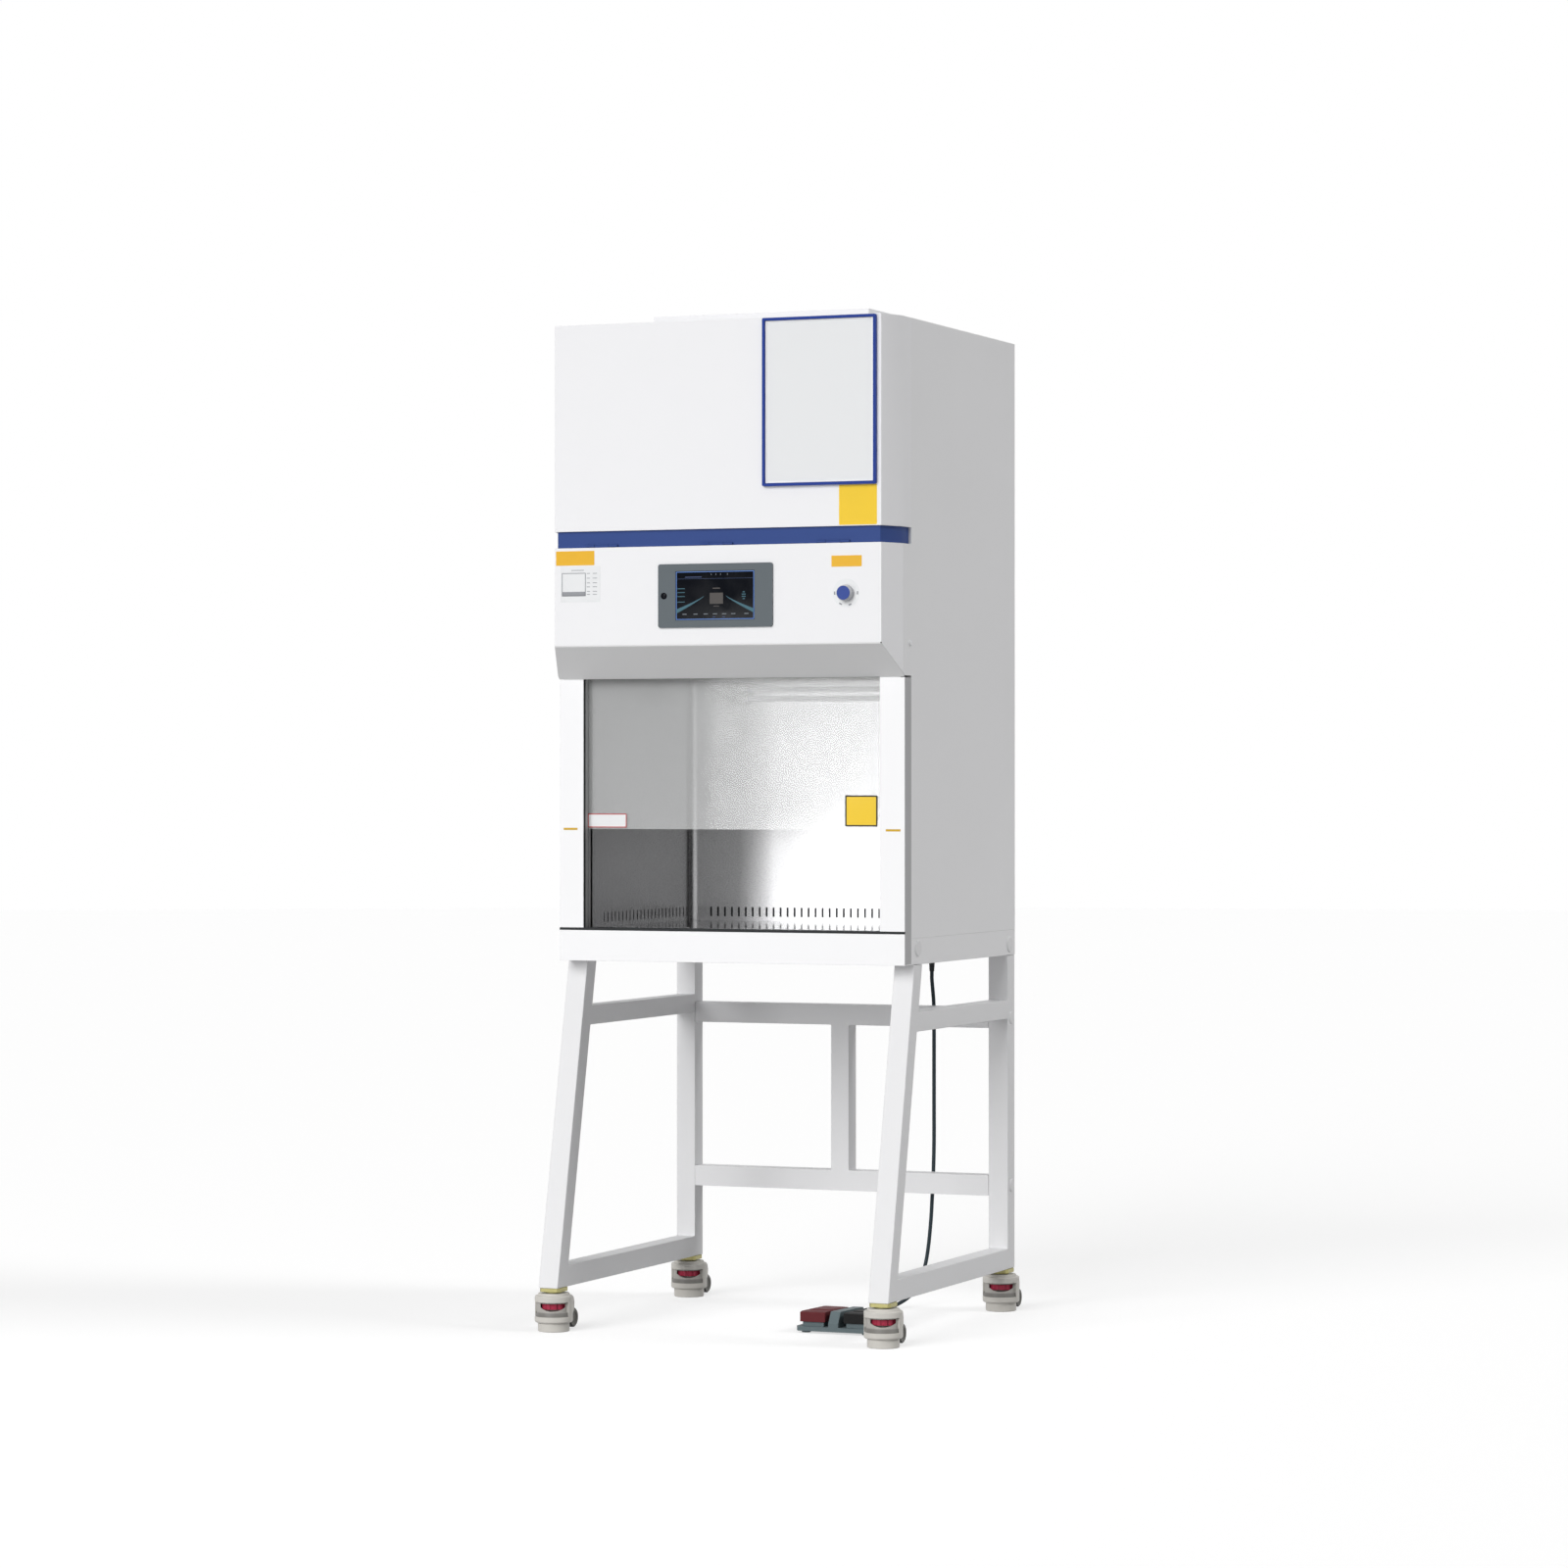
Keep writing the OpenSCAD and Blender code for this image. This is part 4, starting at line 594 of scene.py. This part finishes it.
def panel_outline(x0, x1, z0, z1, radius):
    """Corner-rounded rectangle between two heights and two sides."""
    middle_x, middle_z = (x0 + x1) / 2, (z0 + z1) / 2
    points = rounded_outline(x1 - x0, z1 - z0, radius)
    return [(x + middle_x, z + middle_z) for x, z in points]


def card(name, x0, x1, z0, z1, face_y, material, body, slot,
         radius=SOFT_CORNER, thick=FILM, raised=0.0):
    """A thin plate with rounded corners."""
    outline = panel_outline(x0, x1, z0, z1, radius)
    return flat_piece(name, outline, face_y, thick, material, body, slot, raised=raised)


def border(name, x0, x1, z0, z1, width, face_y, material, body, slot,
           radius=SOFT_CORNER, thick=FILM, raised=0.0):
    """A line of that width just inside a card's edge."""
    outline = panel_outline(x0, x1, z0, z1, radius)
    hole = panel_outline(
        x0 + width, x1 - width, z0 + width, z1 - width, max(radius - width, FINE_CORNER)
    )
    return flat_piece(name, outline, face_y, thick, material, body, slot, hole, raised)


def disc_outline(x, z, radius, count=48):
    """Circle round (x, z)."""
    turns = [2 * math.pi * k / count for k in range(count)]
    return [(x + radius * math.cos(a), z + radius * math.sin(a)) for a in turns]


def arc_outline(x, z, inner, outer, middle, spread_deg, steps=6):
    """A short arc between two radii round (x, z), centred on an angle in degrees."""
    turns = [math.radians(middle + spread_deg * (k / steps - 0.5)) for k in range(steps + 1)]
    far = [(x + outer * math.cos(a), z + outer * math.sin(a)) for a in turns]
    near = [(x + inner * math.cos(a), z + inner * math.sin(a)) for a in turns]
    return far + near[::-1]


def bar(name, low, high, material, body, slot):
    """A plain box piece between two corners."""
    shape = bmesh.new()
    bmesh.ops.create_cube(shape, size=1)
    for vert in shape.verts:
        vert.co = Vector(
            (a + b) / 2 + c * (b - a) for a, b, c in zip(low, high, vert.co)
        )
    mesh = bpy.data.meshes.new(name)
    shape.to_mesh(mesh)
    shape.free()
    return link(name, mesh, material, body)


# ---------- painted shade behind the air slots, and edging ---

SIDES = ((-1, "left"), (1, "right"))
# Half the width of the opening between the pillars
OPENING_HALF = 0.322
# Edging: how far it stands into the opening, its hold behind, its depth along Y
EDGING_OUT, EDGING_IN, EDGING_DEPTH = 0.0006, 0.0004, 0.007
# Sheets of painted shade: how far their two faces lie behind the liner
SHADE_NEAR, SHADE_FAR = 0.0002, 0.0006
# Half the width of the sheet of painted shade behind the rear slots
REAR_SHADE_HALF = 0.30
# Heights over the sill of the air slots and of the pin holes
SLOTS_LOW, SLOTS_HIGH = 0.004, 0.034
PINS_LOW, PINS_HIGH = 0.009, 0.21
# Places behind the front edge of the side liners: first air slot, both sides of the pin holes
SLOTS_FROM, PINS_FROM, PINS_TO = 0.045, 0.001, 0.011


def make_slot_shade():
    """Black sheets of painted shade behind the air slots and pin holes, standing for the shadow in
    the ducts.
    """
    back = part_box("rear_liner")[1].y
    low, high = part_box("side_liners")
    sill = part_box("sill_strip")[1].z
    slots_low, slots_high = sill + SLOTS_LOW, sill + SLOTS_HIGH
    look = ("ink", "cabinet", "black_strip")
    # painted shade: black sheets where the ducts behind the slots lie in shadow
    bar("rear_slot_shade", (-REAR_SHADE_HALF, back + SHADE_NEAR, slots_low),
        (REAR_SHADE_HALF, back + SHADE_FAR, slots_high), *look)
    for side, name in SIDES:
        x0, x1 = sorted((side * (high.x + SHADE_NEAR), side * (high.x + SHADE_FAR)))
        bar("side_slot_shade_" + name, (x0, low.y + SLOTS_FROM, slots_low),
            (x1, high.y, slots_high), *look)
        bar("pin_hole_shade_" + name, (x0, low.y + PINS_FROM, sill + PINS_LOW),
            (x1, low.y + PINS_TO, sill + PINS_HIGH), *look)


def make_edge_trims():
    """Black edging on the inner faces of the sash guides, behind the pillars."""
    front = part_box("sash_guides")[0].y
    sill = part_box("sill_strip")[1].z
    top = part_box("visor")[0].z
    for side, name in SIDES:
        x0, x1 = sorted((side * (OPENING_HALF - EDGING_OUT), side * (OPENING_HALF + EDGING_IN)))
        bar("guide_edging_" + name, (x0, front, sill), (x1, front + EDGING_DEPTH, top),
            "black", "cabinet", "black_strip")


# ---------- signs ----------

# Left, right, bottom and top of each sign and mark
SQUARE_SIGN = (0.264, 0.344, 1.612, 1.691)
LEFT_SIGN = (-0.350, -0.265, 1.542, 1.571)
RIGHT_SIGN = (0.248, 0.312, 1.530, 1.552)
RECORD_CARD = (-0.340, -0.252, 1.468, 1.540)
RECORD_LINE = (-0.337, -0.284, 1.480, 1.527)
RECORD_FOOT = (-0.336, -0.285, 1.481, 1.489)
RECORD_TITLE = (-0.316, -0.288, 1.5315, 1.5328)
# Dark dot of painted shade where the cover has a small corner relief hole
CORNER_HOLE_SHADE = (0.3512, 0.3540, 1.3786, 1.3812)
GLASS_LABEL = (-0.322, -0.236, 1.014, 1.042)
GLASS_SIGN = (0.2400, 0.3090, 1.0180, 1.0800)
# Dashes in the place of the card's text: bottoms of the rows, sides of the columns, height
TEXT_ROWS = (1.5250, 1.5155, 1.5060, 1.4980, 1.4890, 1.4830)
TEXT_COLUMNS = ((-0.2815, -0.2745), (-0.2685, -0.2590))
TEXT_HIGH = 0.0012
# Widths of the lines inside the record card, the glass label and the sign on the glass
RECORD_LINE_WIDTH, LABEL_LINE_WIDTH, SIGN_LINE_WIDTH = 0.0015, 0.0018, 0.0030
# Sash marks on the pillars: near and far end from the middle, bottom and top
SASH_MARK_NEAR, SASH_MARK_FAR = 0.335, 0.366
SASH_MARK_HEIGHTS = (1.0088, 1.0132)
# Blank plate: bars of the blue frame, set back behind the frame's face, overlap and thickness
PLATE_BAR, PLATE_SETBACK, PLATE_LAP, PLATE_THICK = 0.0062, 0.0065, 0.0005, 0.002
PLATE_EDGE_WIDTH, PLATE_EDGE_THICK = 0.0022, 0.0012


def make_cover_signs():
    """Signs, the record card, and a dot of painted shade at a corner hole, on the hood's front."""
    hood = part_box("control_cover")[0].y
    cover = ("control_cover", "white_panel")
    card("square_sign", *SQUARE_SIGN, hood, "yellow", "cabinet", "white_panel")
    card("left_sign", *LEFT_SIGN, hood, "sign_orange", *cover, SIGN_CORNER)
    card("right_sign", *RIGHT_SIGN, hood, "sign_orange", *cover, SIGN_CORNER)
    card("record_card", *RECORD_CARD, hood, "label", *cover, SIGN_CORNER)
    border("record_card_line", *RECORD_LINE, RECORD_LINE_WIDTH, hood, "ink_grey", *cover,
           SIGN_CORNER, raised=FILM)
    card("record_card_foot", *RECORD_FOOT, hood, "ink_grey", *cover, MARK_CORNER, raised=FILM)
    for row, z in enumerate(TEXT_ROWS):
        for column, (x0, x1) in enumerate(TEXT_COLUMNS):
            card(f"record_card_text_{row}_{column}", x0, x1, z, z + TEXT_HIGH, hood, "ink_grey",
                 *cover, FINE_CORNER, raised=FILM)
    card("record_card_title", *RECORD_TITLE, hood, "ink_grey", *cover, FINE_CORNER, raised=FILM)
    # painted shade: a dark dot in place of the shadowed corner hole
    card("cover_corner_hole_shade", *CORNER_HOLE_SHADE, hood, "ink", *cover, MARK_CORNER)


def make_sash_marks():
    """Yellow dashes on the pillars, at the working height of the sash's lower edge."""
    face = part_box("front_fascia")[0].y
    for side, name in SIDES:
        x0, x1 = sorted((side * SASH_MARK_NEAR, side * SASH_MARK_FAR))
        card("sash_mark_" + name, x0, x1, *SASH_MARK_HEIGHTS, face, "mark_yellow", "cabinet",
             "white_panel", MARK_CORNER)


def make_glass_signs():
    """Blank label and blank yellow card on the sash."""
    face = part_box("sash_glass")[0].y
    sash = ("sash", "glass")
    card("glass_label", *GLASS_LABEL, face, "label", *sash, SIGN_CORNER)
    border("glass_label_line", *GLASS_LABEL, LABEL_LINE_WIDTH, face, "label_red", *sash,
           SIGN_CORNER, raised=FILM)
    card("glass_sign", *GLASS_SIGN, face, "yellow", *sash)
    border("glass_sign_line", *GLASS_SIGN, SIGN_LINE_WIDTH, face, "ink", *sash, raised=FILM)


def make_plate():
    """The blank white plate held by the blue frame."""
    low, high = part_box("panel_frame")
    back = low.y + PLATE_SETBACK
    under = PLATE_BAR - PLATE_LAP
    card("blank_plate", low.x + under, high.x - under, low.z + under, high.z - under, back,
         "plate", "cabinet", "white_panel", SIGN_CORNER, PLATE_THICK)
    border("blank_plate_edge", low.x + PLATE_BAR, high.x - PLATE_BAR, low.z + PLATE_BAR,
           high.z - PLATE_BAR, PLATE_EDGE_WIDTH, back - PLATE_THICK, "white_gloss", "cabinet",
           "white_panel", SIGN_CORNER, PLATE_EDGE_THICK)


# ---------- controls ----------

# Lit dashes, in metres from the display's middle: name, x, z, width, height, finish
SCREEN_DASHES = [
    ("screen_header_rule", 0, 0.0335, 0.164, 0.0005, "screen_dim"),
    ("screen_title", -0.047, 0.0368, 0.036, 0.0016, "screen_dim"),
]
SCREEN_DASHES += [
    (f"screen_tick_{k}", x, 0.0418, 0.0010, 0.0035, "screen_pale")
    for k, x in enumerate((-0.008, 0.002, 0.012, 0.027))
]
SCREEN_DASHES += [
    (f"screen_key_{k}", x, -0.037, 0.0090, 0.0017, "screen_pale")
    for k, x in enumerate((-0.066, -0.042, -0.020, 0, 0.020, 0.0395, 0.068))
]
SCREEN_DASHES += [
    (f"screen_sub_key_{k}", x, -0.0430, 0.0060, 0.0012, "screen_dim")
    for k, x in enumerate((-0.002, 0.019))
]
SCREEN_DASHES += [
    (f"screen_reading_{k}", -0.0735, z, 0.016, 0.0014, "screen_teal")
    for k, z in enumerate((0.014, 0.0065, -0.0015, -0.0125))
]
SCREEN_DASHES += [
    (f"screen_fan_{k}", 0.062, z, wide, 0.0018, "screen_teal")
    for k, (z, wide) in enumerate(
        ((0.0060, 0.0050), (0.0015, 0.0085), (-0.0030, 0.0085), (-0.0075, 0.0050))
    )
]
SCREEN_DASHES += [
    ("screen_cabinet_top", 0.003, 0.0140, 0.016, 0.0022, "screen_brown"),
    ("screen_cabinet_body", 0.003, -0.0060, 0.029, 0.022, "screen_brown"),
    ("screen_cabinet_foot", 0.003, -0.0215, 0.012, 0.0016, "screen_brown"),
]
DASH_CORNER = 0.0002
# Blue line round the display: distance from the glass's edge, and width
SCREEN_EDGE_IN, SCREEN_EDGE_WIDTH = 0.001, 0.0013
# Teal slopes: start and run to the side, drop at the start and on the way, how it bends,
# thickness at the start and what it gains
CURVE_START, CURVE_RUN = 0.024, 0.0595
CURVE_DROP, CURVE_FALL, CURVE_BEND = 0.001, 0.026, 0.85
CURVE_THIN, CURVE_GAIN = 0.0008, 0.0075
CURVE_STEPS = 14
# Dark dome in the bezel: distance from the bezel's left edge, radius, depth and flattening
DOME_IN, DOME_RADIUS, DOME_SUNK, DOME_FLAT = 0.0125, 0.0066, 0.0015, 0.35
# Knob: outer and inner radius of the pale scale, radii, width and turns of its marks in degrees
SCALE_OUT, SCALE_IN = 0.0285, 0.0175
MARK_IN, MARK_OUT, MARK_SPREAD = 0.0228, 0.0256, 15
MARK_TURNS = (0, 180, 241, 290)
KNOB_FACE_RADIUS, KNOB_FACE_THICK = 0.0138, 0.0004


def screen_marks(x, z, face):
    """Rows of short dashes where the display shows its readings."""
    for name, dx, dz, wide, high, material in SCREEN_DASHES:
        card(name, x + dx - wide / 2, x + dx + wide / 2, z + dz - high / 2, z + dz + high / 2,
             face, material, "control_cover", "screen", DASH_CORNER)


def screen_curve(name, side, middle_x, middle_z, face):
    """One of the two teal slopes that widen towards the sides of the display."""
    top, under = [], []
    for k in range(CURVE_STEPS + 1):
        t = k / CURVE_STEPS
        x = middle_x + side * (CURVE_START + CURVE_RUN * t)
        z = middle_z - CURVE_DROP - CURVE_FALL * t**CURVE_BEND
        top.append((x, z))
        under.append((x, z - CURVE_THIN - CURVE_GAIN * t))
    flat_piece(name, top + under[::-1], face, FILM, "screen_teal", "control_cover", "screen")


def make_display():
    """What the lit display shows."""
    low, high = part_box("touch_screen")
    x, z = (low.x + high.x) / 2, (low.z + high.z) / 2
    border("screen_edge", low.x + SCREEN_EDGE_IN, high.x - SCREEN_EDGE_IN,
           low.z + SCREEN_EDGE_IN, high.z - SCREEN_EDGE_IN, SCREEN_EDGE_WIDTH, low.y,
           "screen_blue", "control_cover", "screen", SIGN_CORNER)
    screen_marks(x, z, low.y)
    for side, name in SIDES:
        screen_curve("screen_curve_" + name, side, x, z, low.y)


def make_dome():
    """Dark dome in the bezel's left side."""
    low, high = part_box("screen_bezel")
    x, z = low.x + DOME_IN, (low.z + high.z) / 2
    dome = bmesh.new()
    bmesh.ops.create_uvsphere(dome, u_segments=32, v_segments=16, radius=DOME_RADIUS)
    for vert in dome.verts:
        out = low.y + DOME_SUNK + vert.co.z * DOME_FLAT
        vert.co = Vector((vert.co.x + x, out, vert.co.y + z))
    for face in dome.faces:
        face.smooth = True
    bmesh.ops.recalc_face_normals(dome, faces=dome.faces)
    mesh = bpy.data.meshes.new("receiver_dome")
    dome.to_mesh(mesh)
    dome.free()
    link("receiver_dome", mesh, "screen", "control_cover")


def make_knob_trim():
    """The scale round the selector knob, and the knob's blue face."""
    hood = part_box("control_cover")[0].y
    low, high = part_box("selector_knob")
    x, z = (low.x + high.x) / 2, (low.z + high.z) / 2
    cover = ("control_cover", "white_panel")
    flat_piece("knob_scale_ring", disc_outline(x, z, SCALE_OUT), hood, FILM, "label", *cover,
               inner=disc_outline(x, z, SCALE_IN))
    for k, turn in enumerate(MARK_TURNS):
        mark = arc_outline(x, z, MARK_IN, MARK_OUT, turn, MARK_SPREAD)
        flat_piece(f"knob_scale_mark_{k}", mark, hood, FILM, "ink_grey", *cover, raised=FILM)
    flat_piece("knob_face", disc_outline(x, z, KNOB_FACE_RADIUS), low.y, KNOB_FACE_THICK,
               "knob_face", "selector", "knob_grey")


# ---------- floor, backdrop and light ----------

# The world's light on the object, and the floor's own light towards the eye
WORLD_LIGHT = 0.27
FLOOR_LIFT = 0.62
FLOOR_COLOUR = (0.50, 0.50, 0.50, 1)
FLOOR_RADIUS, FLOOR_DROP = 30, 0.0003
# Suns: name, direction towards the lamp, strength, angle in degrees
SUNS = (
    ("front_key", (-0.16, -0.87, 0.42), 1.94, 38),
    ("side_fill", (0.75, 0.10, 0.65), 0.92, 20),
)
# Lamp whose reflection brightens the chamber's rear wall: place, aim, width and height, watts
GLOW_PLACE, GLOW_AIM = (-1.5, -4.4, 1.0), (0.0, 0.2, 1.05)
GLOW_SIZE, GLOW_POWER = (0.6, 1.2), 22


def seen_directly(nodes, links):
    """1 for rays from the eye, through glass and off polished metal."""
    path = nodes.new("ShaderNodeLightPath")
    total = path.outputs["Is Camera Ray"]
    for name in ("Is Glossy Ray", "Is Transmission Ray"):
        add = nodes.new("ShaderNodeMath")
        add.operation = "MAXIMUM"
        links.new(total, add.inputs[0])
        links.new(path.outputs[name], add.inputs[1])
        total = add.outputs[0]
    return total


def make_world():
    """White where it is seen, and a plain soft light on the object."""
    world = bpy.data.worlds.new("studio")
    scene.world = world
    world.use_nodes = True
    nodes, links = world.node_tree.nodes, world.node_tree.links
    shade = nodes["Background"]
    shade.inputs["Color"].default_value = (1, 1, 1, 1)
    mix = nodes.new("ShaderNodeMapRange")
    mix.inputs["To Min"].default_value = WORLD_LIGHT
    mix.inputs["To Max"].default_value = 1.0
    links.new(seen_directly(nodes, links), mix.inputs["Value"])
    links.new(mix.outputs["Result"], shade.inputs["Strength"])


def make_floor():
    """A pale floor that keeps the object's shadow."""
    shape = bmesh.new()
    bmesh.ops.create_circle(shape, cap_ends=True, segments=96, radius=FLOOR_RADIUS)
    mesh = bpy.data.meshes.new("floor")
    shape.to_mesh(mesh)
    shape.free()
    floor = bpy.data.objects.new("floor", mesh)
    floor.location.z = -FLOOR_DROP
    scene.collection.objects.link(floor)
    mat = bpy.data.materials.new("studio_floor")
    mat.use_nodes = True
    nodes, links = mat.node_tree.nodes, mat.node_tree.links
    nodes.clear()
    out = nodes.new("ShaderNodeOutputMaterial")
    diffuse = nodes.new("ShaderNodeBsdfDiffuse")
    diffuse.inputs["Color"].default_value = FLOOR_COLOUR
    lift = nodes.new("ShaderNodeEmission")
    scale = nodes.new("ShaderNodeMath")
    scale.operation = "MULTIPLY"
    scale.inputs[1].default_value = FLOOR_LIFT
    links.new(seen_directly(nodes, links), scale.inputs[0])
    links.new(scale.outputs[0], lift.inputs["Strength"])
    both = nodes.new("ShaderNodeAddShader")
    links.new(diffuse.outputs[0], both.inputs[0])
    links.new(lift.outputs[0], both.inputs[1])
    links.new(both.outputs[0], out.inputs["Surface"])
    mesh.materials.append(mat)


def make_sun(name, towards, strength, angle):
    data = bpy.data.lights.new(name, "SUN")
    data.energy = strength
    data.angle = math.radians(angle)
    light = bpy.data.objects.new(name, data)
    light.rotation_euler = Vector(towards).to_track_quat("Z", "Y").to_euler()
    scene.collection.objects.link(light)


def make_panel_lamp(name, place, towards, size, power):
    data = bpy.data.lights.new(name, "AREA")
    data.shape = "RECTANGLE"
    data.size, data.size_y = size
    data.energy = power
    light = bpy.data.objects.new(name, data)
    light.location = place
    light.rotation_euler = (Vector(place) - Vector(towards)).to_track_quat("Z", "Y").to_euler()
    scene.collection.objects.link(light)


def make_lamps():
    for name, towards, strength, angle in SUNS:
        make_sun(name, towards, strength, angle)
    make_panel_lamp("chamber_glow", GLOW_PLACE, GLOW_AIM, GLOW_SIZE, GLOW_POWER)


scene.view_settings.view_transform = "Standard"
make_camera()
make_cable()
dress_all()
make_edge_trims()
make_slot_shade()
make_cover_signs()
make_sash_marks()
make_glass_signs()
make_plate()
make_display()
make_dome()
make_knob_trim()
make_world()
make_floor()
make_lamps()
